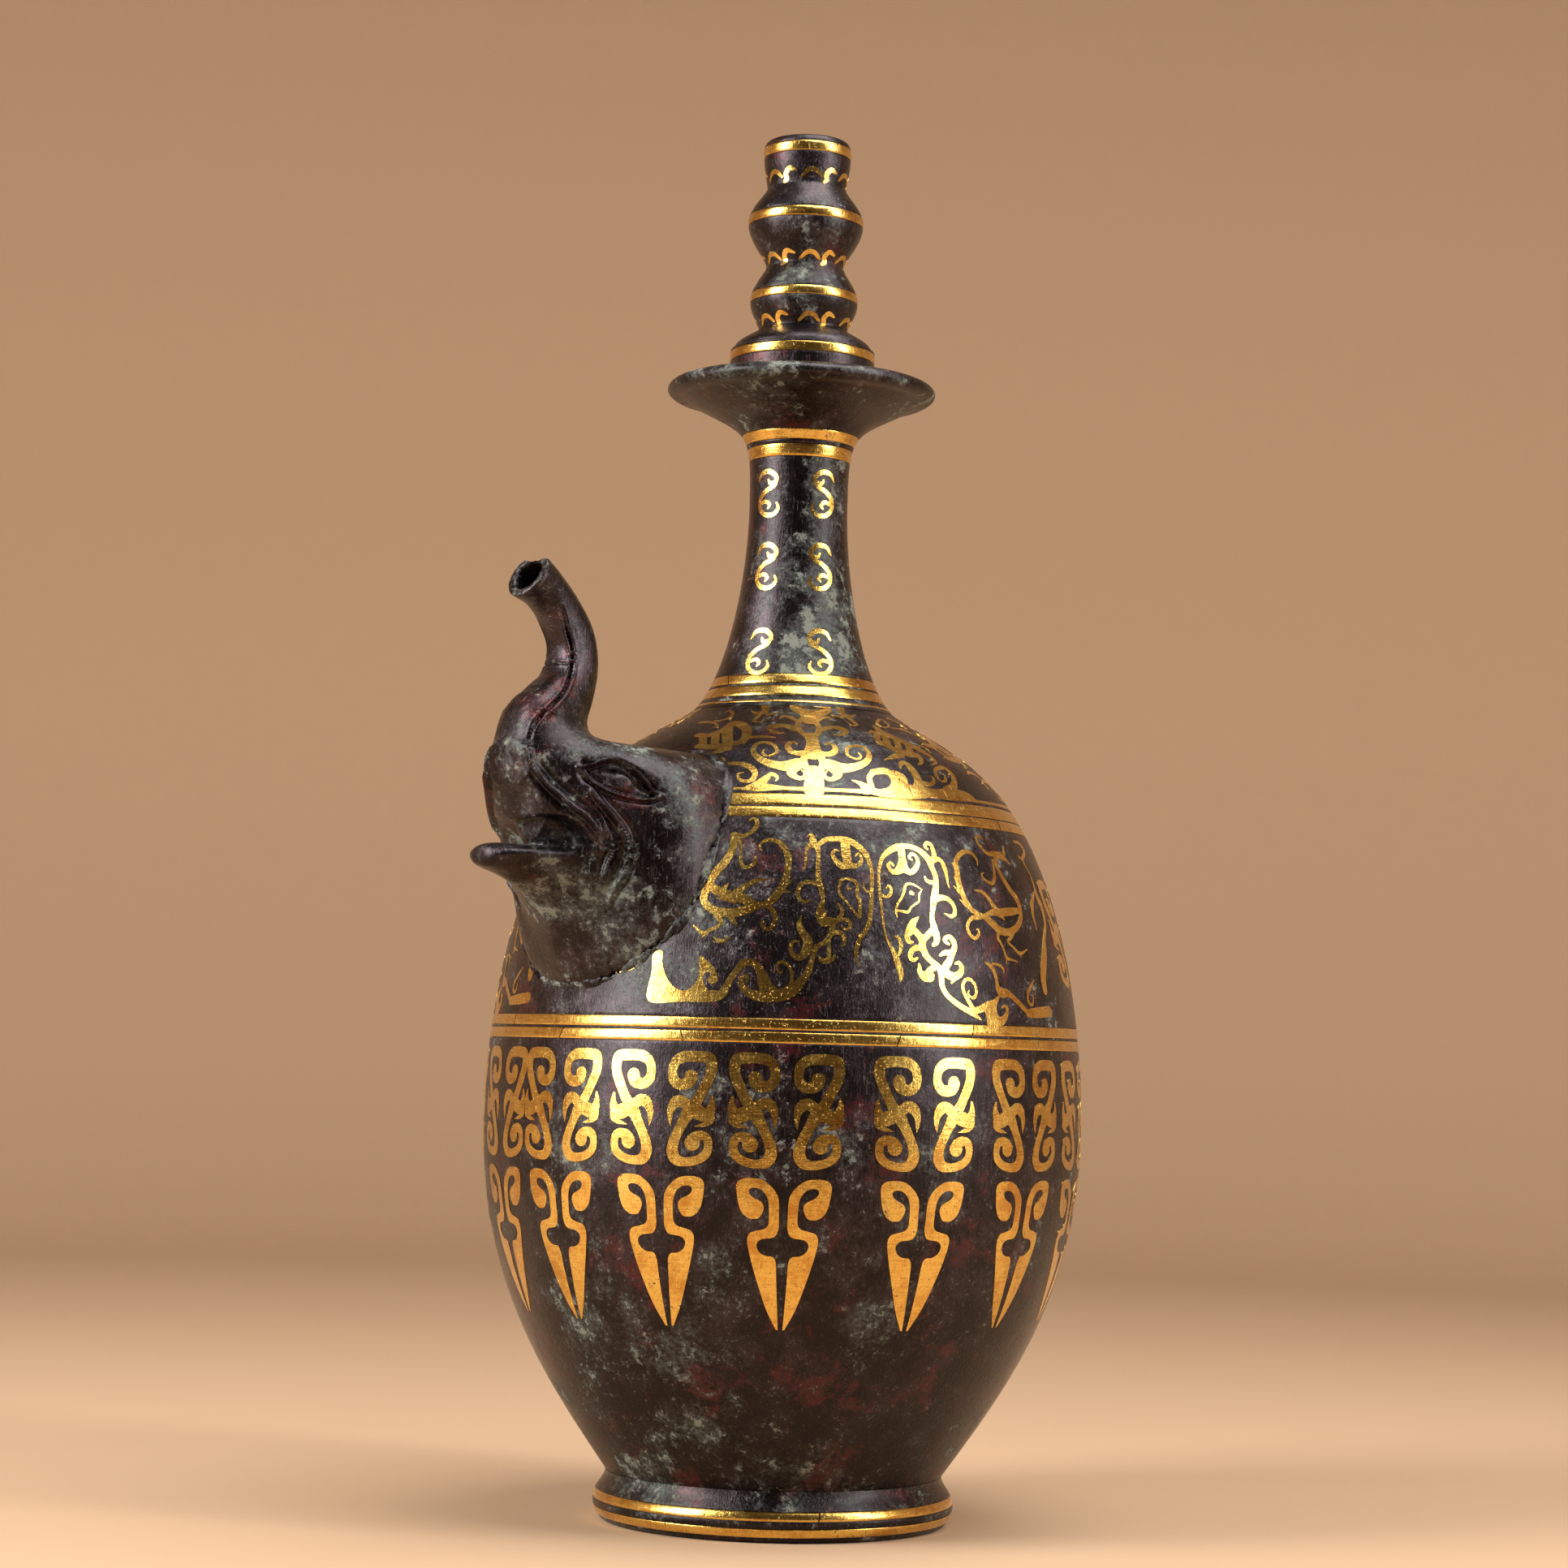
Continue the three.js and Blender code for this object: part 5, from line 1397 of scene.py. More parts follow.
# %% Clouds on the neck, arches and hooks on the stopper
CLOUD = [
    [(-3.3, 4, 0.6), (-2, 5.9, 1.2), (0.8, 6.2, 1.4), (2.8, 4.5, 1.3), (2, 2.2, 1.2), (-0.5, 1, 1.3),
     (-2.5, -1, 1.4), (-2.8, -3.5, 1.3), (-1, -5.5, 1.3), (1.8, -5.8, 1.2), (3.5, -4.2, 1),
     (3, -2.5, 0.5)],
    [(2.4, 3.2, 1.1), (0.8, 3, 1.1), (0.2, 4, 0.6)],
    [(-2.5, -2.5, 1.1), (-0.5, -2, 1.1), (0.8, -3, 1), (0.2, -3.9, 0.5)],
]
CLOUD_ROWS = {234.4: 26.5, 258.5: 32, 278.9: 36}  # height: angle on either side of the front
ARCHES = [
    [(-2.6, 0.2, 0.8), (-0.8, 1.9, 1.3), (1.2, 1.9, 1.3), (2.8, 0.4, 0.8)],
    [(3.6, -1.2, 1), (4.4, -0.4, 1.4), (4.3, 1, 1.4), (5.7, 2.4, 1.4), (7.6, 1.8, 0.7)],
]
ARCH_ROWS = {367.8: 6, 344.6: 6, 327.0: 6}  # height: how many
ARCH_ANGLE = 6.4

for height, aside in CLOUD_ROWS.items():
    for k, angle in enumerate((-aside - 3, aside - 6, 180 - aside, 180 + aside)):
        piece = motif(f"gold_cloud_{int(height)}_{k}", angle, height, CLOUD, outline=neck,
                      mirrored=k % 2 == 1)
        dress(piece, gold)
for height, count in ARCH_ROWS.items():
    for k in range(count):
        piece = motif(f"gold_arch_{int(height)}_{k}", ARCH_ANGLE + k * 360 / count, height, ARCHES,
                      outline=stopper)
        dress(piece, gold, body="stopper")
print("ornament of the neck and stopper:", 4 * len(CLOUD_ROWS) + sum(ARCH_ROWS.values()), "pieces")

# %% [markdown]
# ## The elephant's head
# The head is a hollow casting soldered over the hole in the body. Its skull, trunk and lower lip
# flow into each other, which is hard to build from patches. Here each of them is a distance: how
# far a point lies outside the form. The smaller of two distances joins two forms, the larger one
# cuts, and a soft minimum gives the fillets. A mesh is then drawn where the distance is zero.
#
# The head has its own directions: out is the distance from the pot's axis towards -X, side is the
# distance from the middle plane, and up is the height.

# %% Sections of the head, in millimetres from the belly's radius and the mouth line
MOUTH_HEIGHT = shoulder_height - 19.7
SKULL = [  # reach, top, bottom, half width, height of the widest place, squareness above, below
    (-40, 27.4, -32.0, 32.6, -10, 3.4, 2.2),
    (-20, 27.8, -35.5, 33.2, -10, 3.4, 2.2),
    (-11, 28.0, -36.3, 31.2, -6, 3.4, 2.4),
    (-4, 28.6, -36.0, 26.0, 2, 3.2, 2.4),
    (1, 29.4, -29.6, 23.2, 6, 3.0, 1.6),
    (6, 30.0, -18.6, 20.6, 8, 3.0, 1.5),
    (11, 30.0, -9.0, 17.0, 12, 3.0, 1.7),
    (16, 28.0, 0, 12.5, 16, 3.0, 1.7),
    (20.5, 25.0, 15.0, 8.0, 20, 3.0, 1.7),
]
LIP = [
    (-12, 0, -20, 20.0, -6, 3.4, 1.7),
    (3, 0, -17.0, 17.0, -3.2, 3.0, 1.4),
    (13, 0.2, -12.0, 13.2, -2.4, 2.4, 1.3),
    (21, 0.4, -8.4, 10.2, -2.2, 2.0, 1.4),
    (26, 0.3, -6.7, 7.8, -2.4, 1.8, 1.7),
    (28.6, -0.4, -5.7, 4.7, -2.8, 1.8, 2.0),
    (29.4, -1.5, -4.5, 2.2, -3.0, 2.4, 2.0),
]
MOUTH = [  # reach, height above the mouth line
    (5.6, 0), (7, 1.6), (8.5, 4), (10.2, 6), (12.6, 7.5), (16, 7.6), (19.5, 6), (23, 3.8),
    (60, 3.4), (60, 0),
]
MOUTH_DEPTH = 7.5
TRUNK_FILLET, TIP_FILLET, MOUTH_FILLET, LIP_FILLET, CHIN_FILLET = 5.0, 0.8, 1.2, 1.5, 8.0
CHIN_LEVELS = (-7.0, -2.5)
TRUNK = [  # reach, rise, half depth, half width
    (3, 14, 8.0, 9.5), (8.2, 22.5, 12.4, 11.0), (8.4, 30, 12.2, 9.6), (5.4, 36, 9.6, 7.8),
    (1.6, 42, 7.4, 6.8), (-0.2, 48.5, 6.4, 6.4), (0.9, 55.5, 5.9, 6.0), (5.4, 62, 5.6, 5.8),
    (11.0, 66.9, 5.9, 6.0), (16.6, 70.1, 6.8, 6.8),
]
TRUNK_FRONT, TRUNK_BACK, TRUNK_ROUNDING = 2.8, 2.0, (0.75, 0.9)
SKULL_WALL, TRUNK_WALL, HOLLOW_END, HOLLOW_FILLET = 3.0, 2.2, 2.0, 2.0
FAR = 500.0
print("mouth line at", MOUTH_HEIGHT, "mm; the trunk rises", TRUNK[-1][1], "mm above it")

# %% [markdown]
# The skull and the lower lip are lofts: an oval section at each reach, with numbers of its own
# for its height, width and squareness. A power of two gives an ellipse, a higher one a squarer
# shape, and one near one a keel, as under the lip. The top and bottom halves may differ.

# %% The skull and the lip as lofts
def rows_between(table, reach):
    """The columns of a table of sections at any reach, smoothly between the rows."""
    dense = smooth_line(np.array(table, float), step=1.0)
    return [np.interp(reach, dense[:, 0], column) for column in dense.T[1:]]


def oval_distance(side, rise, half, tall, power):
    """Signed distance, nearly, to an oval with half axes half and tall."""
    gauge = ((np.abs(side) / half) ** power + (np.abs(rise) / tall) ** power) ** (1 / power)
    gauge = np.maximum(gauge, 1e-3)
    return np.hypot(side, rise) * (1 - 1 / gauge)


def lofted_distance(table, out, side, up):
    """Distance to a form that is an oval at every reach from the belly."""
    top, bottom, half, widest, square, under = rows_between(table, out - belly_radius)
    rise = up - MOUTH_HEIGHT - widest
    above = rise > 0
    tall = np.where(above, top - widest, widest - bottom)
    section = oval_distance(side, rise, half, tall, np.where(above, square, under))
    beyond = out - belly_radius - table[-1][0]
    return np.maximum(section, beyond)


# %% Joins with a fillet, and a flat shape as a distance
def soft_min(a, b, blend):
    """Two forms joined, with a fillet about as wide as the blend."""
    share = np.clip(0.5 + 0.5 * (b - a) / blend, 0, 1)
    return b * (1 - share) + a * share - blend * share * (1 - share)


def soft_max(a, b, blend):
    """What two forms share, or one cut by the other, with a rounded edge."""
    return -soft_min(-a, -b, blend)


def polygon_distance(corners, x, y):
    """Signed distance to a polygon in the plane, negative inside."""
    nearest = np.full(np.broadcast(x, y).shape, np.inf)
    inside = np.zeros(nearest.shape, bool)
    for (ax, ay), (bx, by) in zip(corners, corners[1:] + corners[:1]):
        dx, dy = bx - ax, by - ay
        share = np.clip(((x - ax) * dx + (y - ay) * dy) / (dx * dx + dy * dy), 0, 1)
        nearest = np.minimum(nearest, np.hypot(x - ax - share * dx, y - ay - share * dy))
        if dy:
            crosses = (ay > y) != (by > y)
            inside ^= crosses & (x < ax + dx * (y - ay) / dy)
    return np.where(inside, -nearest, nearest)


# %% [markdown]
# The trunk is a tube along a curved line in the middle plane. The line rises over the mouth, leans
# back and bends forward again at the tip. The tube is deeper than wide at its root, and its front
# is fuller than its back until the tip, where it is round for pouring.

# %% The trunk along its line
trunk_line = smooth_line(np.array(TRUNK, float), step=0.5)
trunk_line[:, 0] += belly_radius
trunk_line[:, 1] += MOUTH_HEIGHT
trunk_along = np.gradient(trunk_line[:, :2], axis=0)
trunk_along /= np.linalg.norm(trunk_along, axis=1)[:, None]


def trunk_distance(out, side, up):
    """Distance to the trunk's skin, and the distance past its tip."""
    shape = np.broadcast(out, up).shape
    flat_out, flat_up = np.broadcast_to(out, shape).ravel(), np.broadcast_to(up, shape).ravel()
    nearest = np.empty(flat_out.size, int)
    for start in range(0, flat_out.size, 20000):
        part = slice(start, start + 20000)
        from_out = flat_out[part, None] - trunk_line[:, 0]
        from_up = flat_up[part, None] - trunk_line[:, 1]
        nearest[part] = (from_out ** 2 + from_up ** 2).argmin(axis=1)
    line, along = trunk_line[nearest], trunk_along[nearest]
    d_out, d_up = flat_out - line[:, 0], flat_up - line[:, 1]
    past = (d_out * along[:, 0] + d_up * along[:, 1]).reshape(shape)
    ahead = (d_out * along[:, 1] - d_up * along[:, 0]).reshape(shape)
    depth, half = line[:, 2].reshape(shape), line[:, 3].reshape(shape)
    share = nearest.reshape(shape) / len(trunk_line)
    front = np.interp(share, TRUNK_ROUNDING, (TRUNK_FRONT, TRUNK_BACK))
    power = np.where(ahead > 0, front, TRUNK_BACK)
    section = oval_distance(side, ahead, half, depth, power)
    past_tip = np.where(nearest.reshape(shape) == len(trunk_line) - 1, past, -FAR)
    return section, past_tip


trunk_length = np.linalg.norm(np.diff(trunk_line[:, :2], axis=0), axis=1).sum()
print("the trunk is", round(trunk_length), "mm long along its line")

# %% [markdown]
# The casting puts the forms together in the order in which a modeller would: trunk onto skull,
# mouth cut in, lip joined under it with a wide fillet towards the chin. Then the hollow for the
# wine and the room that the pot's own body takes are cut away.

# %% The skin of the head, and the whole casting
def body_distance(out, side, up):
    """Distance outside the body's surface."""
    lean = body.normal(up)[0]
    return (np.hypot(out, side) - body.radius(up)) * lean


def mouth_distance(upper, out, up):
    """Distance outside the slot that the mouth cuts into the skin of the upper jaw."""
    slot = polygon_distance(MOUTH, out - belly_radius, up - MOUTH_HEIGHT)
    return np.maximum(slot, -MOUTH_DEPTH - upper)


def head_skin(out, side, up):
    """Distance to the outer surface of the head."""
    skull = lofted_distance(SKULL, out, side, up)
    lip = lofted_distance(LIP, out, side, up)
    trunk, past_tip = trunk_distance(out, side, up)
    trunk = soft_max(trunk, past_tip, TIP_FILLET)
    upper = soft_min(skull, trunk, TRUNK_FILLET)
    upper = soft_max(upper, -mouth_distance(upper, out, up), MOUTH_FILLET)
    fillet = np.interp(up - MOUTH_HEIGHT, CHIN_LEVELS, (CHIN_FILLET, LIP_FILLET))
    return soft_min(upper, lip, fillet)


def head_distance(out, side, up):
    """The whole casting: its skin, less the hollow and the space that the body fills."""
    trunk, _ = trunk_distance(out, side, up)
    skull = lofted_distance(SKULL, out, side, up)
    mouth = mouth_distance(soft_min(skull, trunk, TRUNK_FILLET), out, up)
    hollow = lofted_distance(SKULL, out + SKULL_WALL, side, up) + SKULL_WALL
    hollow = np.maximum(hollow, out - belly_radius + HOLLOW_END)
    hollow = soft_min(hollow, trunk + TRUNK_WALL, HOLLOW_FILLET)
    hollow = np.maximum(hollow, TRUNK_WALL - mouth)
    casting = np.maximum(head_skin(out, side, up), -hollow)
    return np.maximum(casting, SEAM - body_distance(out, side, up))


# %% [markdown]
# The zero surface becomes a mesh by surface nets: each cell of a grid that the surface passes
# through gets one vertex, in the middle of the places where the surface crosses the cell's edges.
# The vertices are then pulled onto the exact surface along the distance's slope.

# %% Surface nets
def surface_net(value, origin, cell):
    """Vertices (in grid directions) and quads where a grid of values changes sign."""
    inside = value < 0
    shape = np.array(value.shape) - 1
    total, count = np.zeros((*shape, 3)), np.zeros(shape)
    corners = [slice(None, -1), slice(1, None)]
    changes = []
    for axis in range(3):
        first, second = [slice(None)] * 3, [slice(None)] * 3
        first[axis], second[axis] = corners
        a, b = value[tuple(first)], value[tuple(second)]
        change = inside[tuple(first)] != inside[tuple(second)]
        changes.append(change)
        share = np.where(change, a / np.where(a == b, 1, a - b), 0)
        others = [k for k in range(3) if k != axis]
        for i in (0, 1):
            for j in (0, 1):
                view = [slice(None)] * 3
                view[others[0]], view[others[1]] = corners[i], corners[j]
                here = change[tuple(view)]
                count += here
                total[..., axis] += here * share[tuple(view)]
                total[..., others[0]] += here * i
                total[..., others[1]] += here * j
    used = count > 0
    index = np.full(shape, -1)
    index[used] = np.arange(used.sum())
    base = np.argwhere(used)
    vertices = origin + (base + total[used] / count[used][:, None]) * cell
    faces = []
    for axis in range(3):
        u, v = [k for k in range(3) if k != axis]
        cells = np.argwhere(changes[axis])
        across = cells[:, [u, v]]
        cells = cells[((across > 0) & (across < shape[[u, v]])).all(axis=1)]
        step_u, step_v = np.eye(3, dtype=int)[u], np.eye(3, dtype=int)[v]
        ring = [cells - step_u - step_v, cells - step_v, cells, cells - step_u]
        quad = np.stack([index[tuple(r.T)] for r in ring], axis=1)
        outward = inside[tuple(cells.T)] ^ (axis == 1)
        quad[~outward] = quad[~outward][:, ::-1]
        faces.append(quad)
    return vertices, np.concatenate(faces)


# %% Pulling points onto the exact surface
def pulled(distance, points, rounds=3, reach=0.05):
    """Points moved onto the zero surface of a distance function."""
    for _ in range(rounds):
        here = distance(*points.T)
        slope = np.stack([
            distance(*(points + reach * axis).T) - distance(*(points - reach * axis).T)
            for axis in np.eye(3)
        ], axis=1) / (2 * reach)
        steepness = np.maximum((slope ** 2).sum(axis=1), 0.25)
        points = points - np.clip(here / steepness, -0.5, 0.5)[:, None] * slope
    return points


# %% [markdown]
# The modeller's lines give the head its look: the edge along the trunk that becomes the upper lip,
# the folds behind the mouth and the lids of the eye. Each is a smooth line on the skin with one
# profile, a rounded ridge between two furrows. A negative height turns it into a furrow with
# raised lips.

# %% Lines on the head, as (out, side, up) in millimetres, with half width and height
HEAD_LINES = {
    "trunk edge": (0.8, -0.6, [
        (90.6, 5.2, 238.6), (87.9, 4.4, 233.3), (86.1, 4.6, 228.6), (86.4, 5.1, 224.5),
        (87.7, 5.8, 221.1), (90.6, 6.9, 216.8), (94.3, 7.6, 213.6), (98, 7.7, 210.5),
        (100.4, 7.1, 207.1), (101.8, 7.1, 203)]),
    "upper lip": (1.45, 1.25, [
        (102, 7.4, 202), (102.3, 8.2, 199.7), (101.1, 9.3, 196.3), (98.6, 11.3, 192.6),
        (96.2, 13.5, 189.8), (93.5, 15.9, 187), (90.8, 18.2, 184.6), (88.6, 19.6, 181.8),
        (87, 20.4, 179.2), (86.4, 20.2, 176)]),
    "crease": (0.6, -0.4, [(87.9, 0, 225.2), (87.9, 1.4, 224.9), (86.4, 5.1, 224.5)]),
    "upper lid": (0.75, 0.8, [
        (93, 15.8, 197), (90, 17.8, 197.8), (85.1, 19.4, 199.2), (81.3, 21.1, 198.1),
        (78.1, 23.7, 195.5), (75.9, 26.1, 192), (73.6, 27.7, 190.5)]),
    "second lid": (0.5, 0.5, [
        (87.9, 19, 196.4), (83.9, 20.4, 197), (80.8, 22.3, 195.4), (78.2, 24.6, 192.6),
        (75.4, 26.6, 190.9)]),
    "lower lid": (0.75, 0.75, [
        (93, 16, 196.6), (89.6, 18.8, 193.2), (86.2, 21, 191), (81.8, 23.2, 189.8),
        (77.4, 25.5, 189.6), (73.6, 27.7, 190.4)]),
    "long fold": (1.15, 0.95, [
        (90.9, 17.9, 192.4), (88.3, 19.8, 188.5), (85.5, 21.7, 185.1), (82.8, 22.9, 181.7),
        (81.5, 23.4, 178.6), (81.4, 22.9, 174.6), (81.6, 21, 169.9), (82.2, 18.9, 166.3),
        (82.2, 17.3, 162.8)]),
    "outer fold": (0.9, 0.65, [
        (80.2, 24.3, 178.6), (79.5, 24.3, 175.5), (80.5, 23.2, 172.3), (81.3, 21.2, 169.1),
        (81.9, 18.6, 164.4)]),
    "inner fold": (1.1, 0.85, [
        (89.3, 19.4, 187.1), (87.1, 20, 183), (84.9, 20.7, 179.2), (84.1, 20.5, 176.1),
        (84.6, 18.8, 172.2), (84.4, 16.3, 167.1)]),
    "short fold": (0.7, 0.5, [(83.7, 21.7, 178.5), (83.3, 20.8, 175.4), (84, 19.3, 172.2)]),
}
HEAD_DOMES = [  # out, side, up, radius, height
    (96.6, 8, 211.4, 1.5, 1.0),
    (92.9, 16, 197.2, 1.7, 0.7),
    (91.6, 16.6, 198.6, 0.6, -0.8),
]
EYE, EYE_RADIUS, EYE_HEIGHT = (83.2, 21.9, 193.6), 3.1, 1.5
SOCKET_LINE = [(90, 17.9, 195.8), (83.6, 21.5, 194.2), (77.4, 25.4, 191.6)]
SOCKET_WIDTH, SOCKET_DEPTH = 3.2, 0.9
LINE_FADE, LINE_GAIN, LINE_REACH = 4.0, 1.4, 6.0
print(len(HEAD_LINES), "lines and", len(HEAD_DOMES), "small domes on each side of the head")


# %% How the lines raise the skin
def away_from(points, places, step=6000):
    """For each point, the distance to the nearest of some places, and which one that is."""
    nearest = np.concatenate([
        ((points[k:k + step, None] - places) ** 2).sum(axis=2).argmin(axis=1)
        for k in range(0, len(points), step)
    ])
    return np.linalg.norm(points - places[nearest], axis=1), nearest


def head_relief(points):
    """How far the skin stands out at each point for the modeller's lines, in millimetres."""
    points = np.abs(points)
    total = np.zeros(len(points))
    for half_width, height, line in HEAD_LINES.values():
        places = pulled(head_skin, smooth_line(line, step=0.3))
        away = np.abs(points - places.mean(axis=0))
        near = np.flatnonzero((away < np.ptp(places, axis=0) + LINE_REACH).all(axis=1))
        distance, nearest = away_from(points[near], places)
        from_end = np.minimum(nearest, len(places) - 1 - nearest) * 0.3
        reach = (distance / half_width) ** 2
        fade = np.clip(0.2 + from_end / LINE_FADE, 0, 1)
        total[near] += LINE_GAIN * height * (1 - 2 * reach) * np.exp(-reach) * fade
    for out, side, up, radius, height in HEAD_DOMES:
        distance = np.linalg.norm(points - (out, side, up), axis=1)
        total += height * np.exp(-(distance / radius) ** 2)
    distance, _ = away_from(points, smooth_line(SOCKET_LINE, step=0.5))
    total -= SOCKET_DEPTH * np.exp(-(distance / SOCKET_WIDTH) ** 4)
    distance = np.linalg.norm((points - EYE) * (0.75, 1, 1.25), axis=1)
    total += EYE_HEIGHT * np.exp(-(distance / EYE_RADIUS) ** 4)
    return total


def near_features(points):
    """Which points need a finer mesh."""
    points = np.abs(points)
    near = np.linalg.norm(points - EYE, axis=1) < 9
    for half_width, _, line in HEAD_LINES.values():
        distance, _ = away_from(points, smooth_line(line, step=1.5))
        near |= distance < 2.3 * half_width + 0.8
    return near


# %% [markdown]
# A fine mesh is only needed at the lines and the eye. The net is drawn once at an even cell, and
# the edges near a line are cut into three. Half of the head is measured and mirrored, because
# its two sides were cast alike.

# %% Meshing and refining
HEAD_CELL = 0.8
HEAD_LOW, HEAD_HIGH = np.array([36.0, 0.0, 136.0]), np.array([112.0, 36.0, 252.0])


def slopes(distance, points, reach=0.05):
    """The direction in which a distance grows fastest, at each point."""
    slope = np.stack([
        distance(*(points + reach * axis).T) - distance(*(points - reach * axis).T)
        for axis in np.eye(3)
    ], axis=1)
    return slope / np.maximum(np.linalg.norm(slope, axis=1), 1e-9)[:, None]


def refined(vertices, faces, chosen, cuts=2):
    """The mesh with the edges between chosen vertices cut into shorter ones."""
    mesh = bmesh.new()
    for vertex in vertices:
        mesh.verts.new(vertex)
    mesh.verts.ensure_lookup_table()
    for face in faces:
        mesh.faces.new([mesh.verts[int(i)] for i in face])
    mesh.verts.index_update()
    edges = [e for e in mesh.edges if chosen[e.verts[0].index] and chosen[e.verts[1].index]]
    bmesh.ops.subdivide_edges(mesh, edges=edges, cuts=cuts, use_grid_fill=True)
    mesh.verts.index_update()
    vertices = np.array([tuple(v.co) for v in mesh.verts])
    faces = [tuple(v.index for v in face.verts) for face in mesh.faces]
    mesh.free()
    return vertices, faces


def net_of(distance):
    """Vertices and quads of a form that is the same on both sides of the middle plane."""
    out = np.arange(HEAD_LOW[0], HEAD_HIGH[0], HEAD_CELL)
    side = np.arange(HEAD_CELL / 2, HEAD_HIGH[1], HEAD_CELL)
    up = np.arange(HEAD_LOW[2], HEAD_HIGH[2], HEAD_CELL)
    half = distance(out[:, None, None], side[None, :, None], up[None, None, :])
    value = np.concatenate([half[:, ::-1], half], axis=1)
    return surface_net(value, np.array([out[0], -side[-1], up[0]]), HEAD_CELL)


def head_piece(name, vertices, faces):
    """Head directions (out, side, up) into the pot's frame: out runs along -X and side along -Y."""
    placed = vertices * (-MM, -MM, MM)
    return mesh_piece(name, placed, [tuple(int(i) for i in face) for face in faces], smooth_angle=50)


# %% The casting of the head
def head_casting():
    vertices, faces = net_of(head_distance)
    vertices = pulled(head_distance, vertices)
    on_skin = np.abs(head_skin(*vertices.T)) < 0.3
    vertices, faces = refined(vertices, faces, near_features(vertices) & on_skin)
    vertices = pulled(head_distance, vertices, rounds=2)
    shown = (np.abs(head_skin(*vertices.T)) < 0.1) & (body_distance(*vertices.T) > 0.5)
    shaped = vertices[shown]
    vertices[shown] = shaped + slopes(head_skin, shaped) * head_relief(shaped)[:, None]
    return head_piece("elephant_head_casting", vertices, faces)


head = dress(head_casting(), head_bronze, replaces="elephant_head")
print("head:", len(head.data.vertices), "vertices", len(head.data.polygons), "faces")

# %% [markdown]
# The head was soldered on. The seam stands up as a thin uneven bead where the two surfaces meet,
# which is again the zero of a distance: a tube round the line where both distances vanish.

# %% The bead of solder round the head
BEAD_RADIUS = 0.85


def bead_distance(out, side, up):
    lumps = 0.3 * np.sin(1.9 * up + 2.3 * out) * np.sin(1.3 * side + 0.7 * up)
    lumps = lumps + 0.4 * np.sin(0.35 * up + 0.3 * side)
    return np.hypot(head_skin(out, side, up), body_distance(out, side, up)) - BEAD_RADIUS - lumps


vertices, faces = net_of(bead_distance)
vertices = pulled(bead_distance, vertices)
solder = bronze_finish("old_solder", green=0.04, red=-0.03)
bead = dress(head_piece("solder_bead", vertices, faces), solder)
print("bead:", len(bead.data.vertices), "vertices")

# %% [markdown]
# ## Studio
# The camera stands where the photograph was taken: about two and a half pot heights away, level
# with the scrolls on the belly, looking up by four degrees and tilted by one and a half. It was
# solved from the ellipses of the bands, which are flatter the nearer they are to the camera's
# own height.

# %% Camera
PHOTO_PIXELS = 1932
FOCAL_PIXELS = 4300
CAMERA_DISTANCE, CAMERA_HEIGHT, CAMERA_ASIDE = 0.960, 0.1255, -0.00199
CAMERA_PITCH, CAMERA_ROLL = math.radians(4.44), math.radians(1.514)

towards_camera = Vector((math.cos(CAMERA_SIDE), math.sin(CAMERA_SIDE), 0))
to_the_right = Vector((-towards_camera.y, towards_camera.x, 0))
upward = Vector((0, 0, 1))


def photo_camera():
    data = bpy.data.cameras.new("camera")
    data.sensor_width = 36
    data.lens = FOCAL_PIXELS / PHOTO_PIXELS * data.sensor_width
    data.clip_start, data.clip_end = 0.05, 20
    camera = bpy.data.objects.new("camera", data)
    level = -towards_camera * math.cos(CAMERA_PITCH) + upward * math.sin(CAMERA_PITCH)
    above = upward * math.cos(CAMERA_PITCH) + towards_camera * math.sin(CAMERA_PITCH)
    right = to_the_right * math.cos(CAMERA_ROLL) + above * math.sin(CAMERA_ROLL)
    above = above * math.cos(CAMERA_ROLL) - to_the_right * math.sin(CAMERA_ROLL)
    place = towards_camera * CAMERA_DISTANCE + to_the_right * CAMERA_ASIDE + upward * CAMERA_HEIGHT
    camera.matrix_world = Matrix.Translation(place) @ Matrix((right, above, -level)).transposed().to_4x4()
    bpy.context.scene.collection.objects.link(camera)
    bpy.context.scene.camera = camera
    return camera


print("lens", round(photo_camera().data.lens, 2), "mm")

# %% [markdown]
# Polished metal shows its surroundings more than its own colour. The floor and the wall behind
# the pot are pale warm paper. The wall on the camera's side, which only the metal sees, is a
# darker cloth, so that the bronze stays dark between its highlights.

# %% Floor and backdrop in one sweep
PAPER, CLOTH = (0.52, 0.34, 0.20), (0.05, 0.036, 0.03)
FLOOR_DROP = 0.3


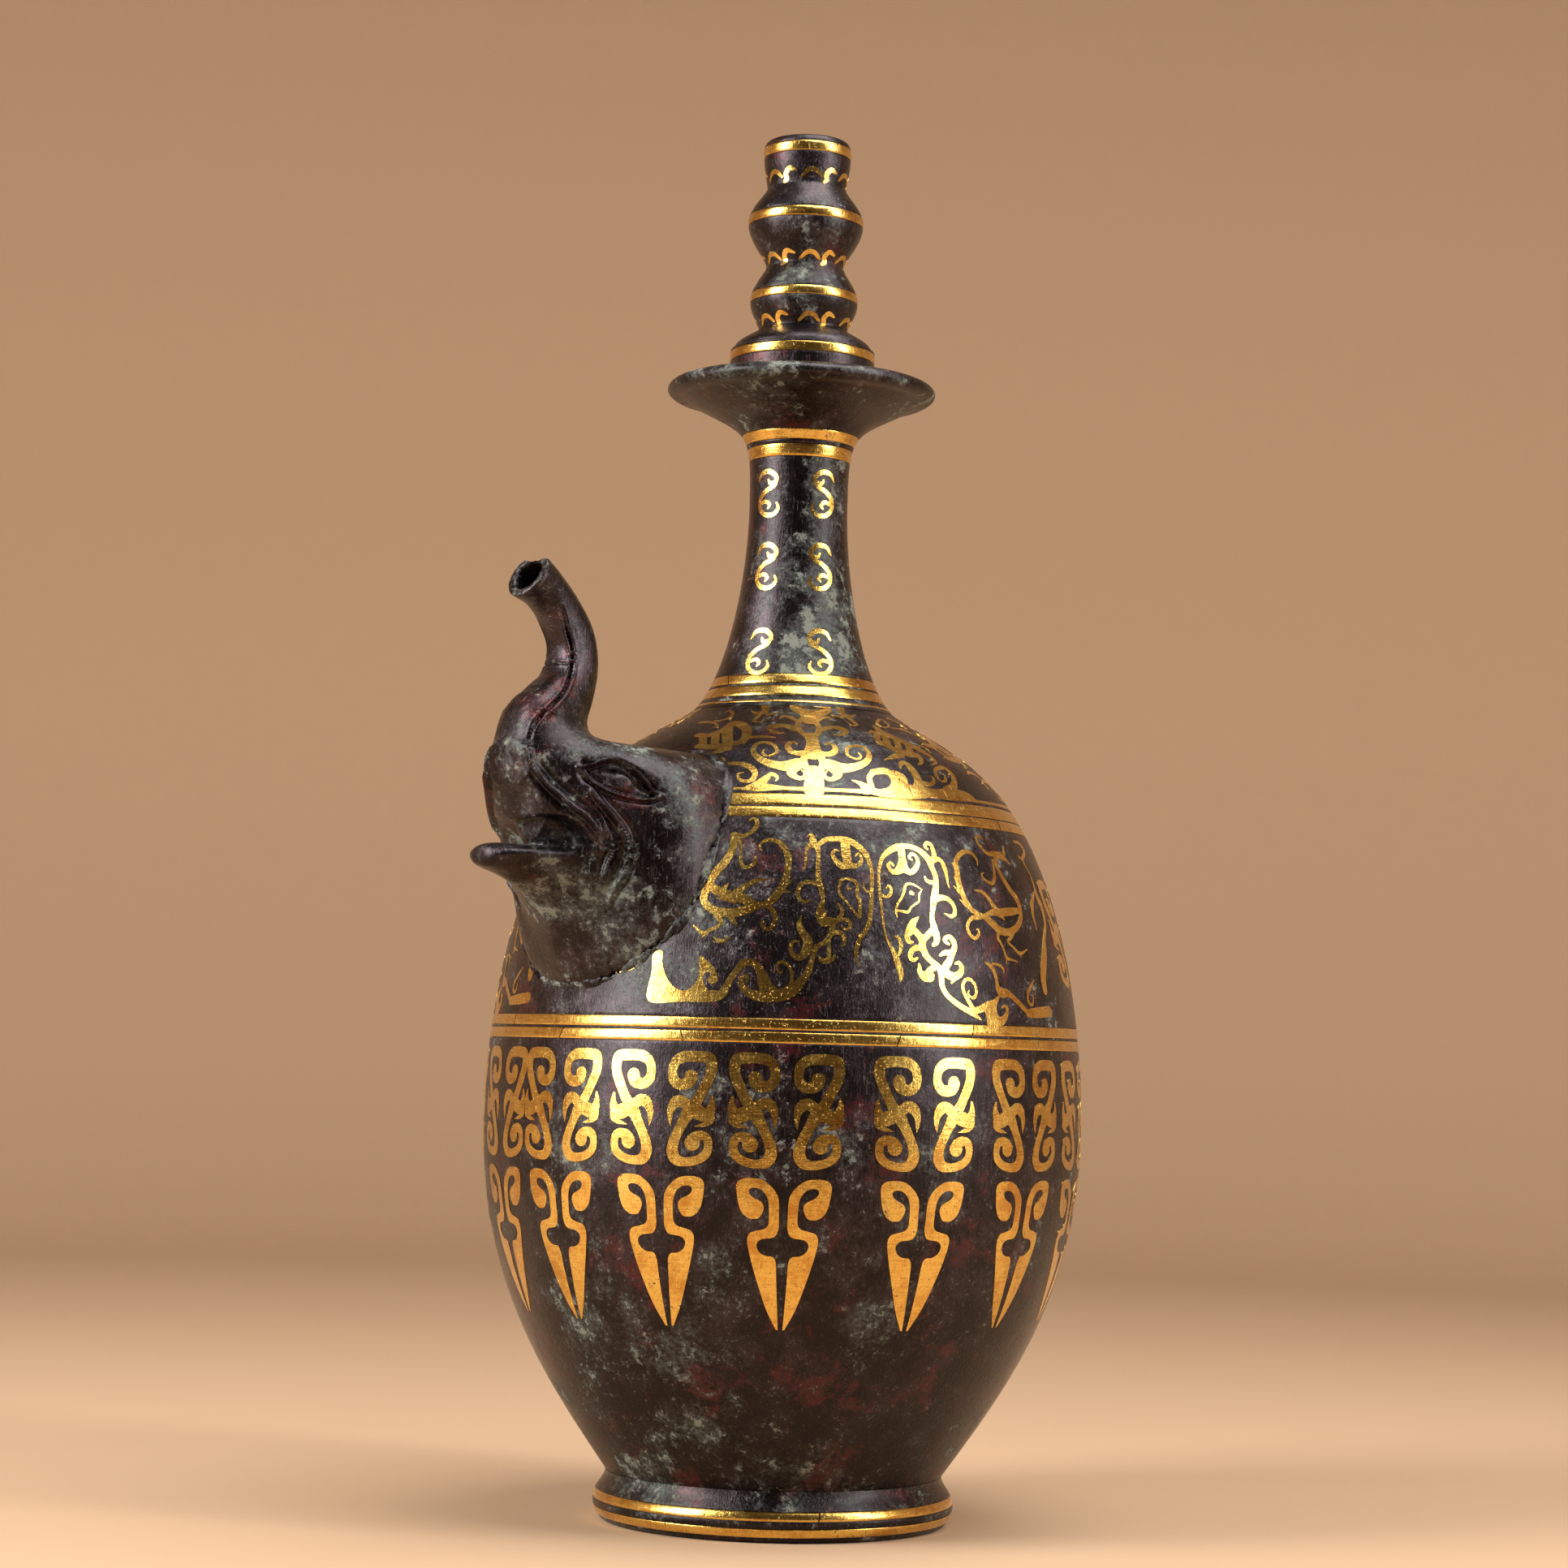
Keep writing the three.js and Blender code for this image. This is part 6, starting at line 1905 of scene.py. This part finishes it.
def sweep():
    """A pale floor that curves up into a wall all round, open at the top."""
    floor_radius, cove, wall_top = 1150, 450, 2600
    turns = np.linspace(0, math.pi / 2, 12)
    section = [(floor_radius * s, -FLOOR_DROP) for s in (0, 0.12, 0.3, 0.6)]
    section += [(floor_radius + cove * math.sin(t), cove * (1 - math.cos(t)) - FLOOR_DROP)
                for t in turns]
    section.append((floor_radius + cove, wall_top))
    turns = 96
    angles = np.arange(turns) * 2 * math.pi / turns
    vertices = [(r * math.cos(a) * MM, r * math.sin(a) * MM, z * MM) for r, z in section for a in angles]
    faces = []
    for ring in range(len(section) - 1):
        for i in range(turns):
            j = (i + 1) % turns
            a, b = ring * turns, (ring + 1) * turns
            faces.append((b + i, b + j, a + j, a + i))
    return mesh_piece("sweep", vertices, faces, smooth_angle=180)


def backdrop_finish():
    """Paper behind the pot and under it, cloth on the camera's side."""
    finish = Finish("pale_paper")
    across = finish.node("VectorMath", {"operation": "DOT_PRODUCT"}, {0: finish.place, 1: towards_camera},
                         output="Value")
    colour = finish.mix(across.over(0.42, 0.85), PAPER, CLOTH)
    finish.set(Base_Color=colour, Roughness=0.8)
    return finish.material


floor = sweep()
floor.data.materials.append(backdrop_finish())
print("sweep:", len(floor.data.polygons), "faces")

# %% [markdown]
# Two tall soft lights draw the long highlights on either side of the turned forms, and a third one
# overhead picks out the shoulder. The world adds a little grey light, so that no side is black.

# %% Lights
AIM_HEIGHT, AMBIENT = 0.19, (0.12, 0.115, 0.11)


def soft_light(name, angle, distance, height, width, tall, power):
    """A rectangular light at an angle to the right of the camera, aimed at the pot."""
    data = bpy.data.lights.new(name, "AREA")
    data.shape, data.size, data.size_y = "RECTANGLE", width, tall
    data.energy = power
    light = bpy.data.objects.new(name, data)
    turn = radians_at(angle)
    place = Vector((distance * math.cos(turn), distance * math.sin(turn), height))
    light.location = place
    light.rotation_euler = (Vector((0, 0, AIM_HEIGHT)) - place).to_track_quat("-Z", "Y").to_euler()
    light.visible_camera = False
    bpy.context.scene.collection.objects.link(light)
    return light


soft_light("left_strip", -63, 1.1, 0.64, 0.42, 0.95, 23)
soft_light("right_strip", 65, 1.1, 0.64, 0.20, 1.0, 12)
soft_light("overhead", 55, 0.3, 1.1, 0.7, 0.7, 11)

world = bpy.data.worlds.new("studio")
world.use_nodes = True
world.node_tree.nodes["Background"].inputs["Color"].default_value = (*AMBIENT, 1)
bpy.context.scene.world = world
bpy.context.scene.view_settings.view_transform = "Standard"
print("lights:", [light.name for light in bpy.data.lights])
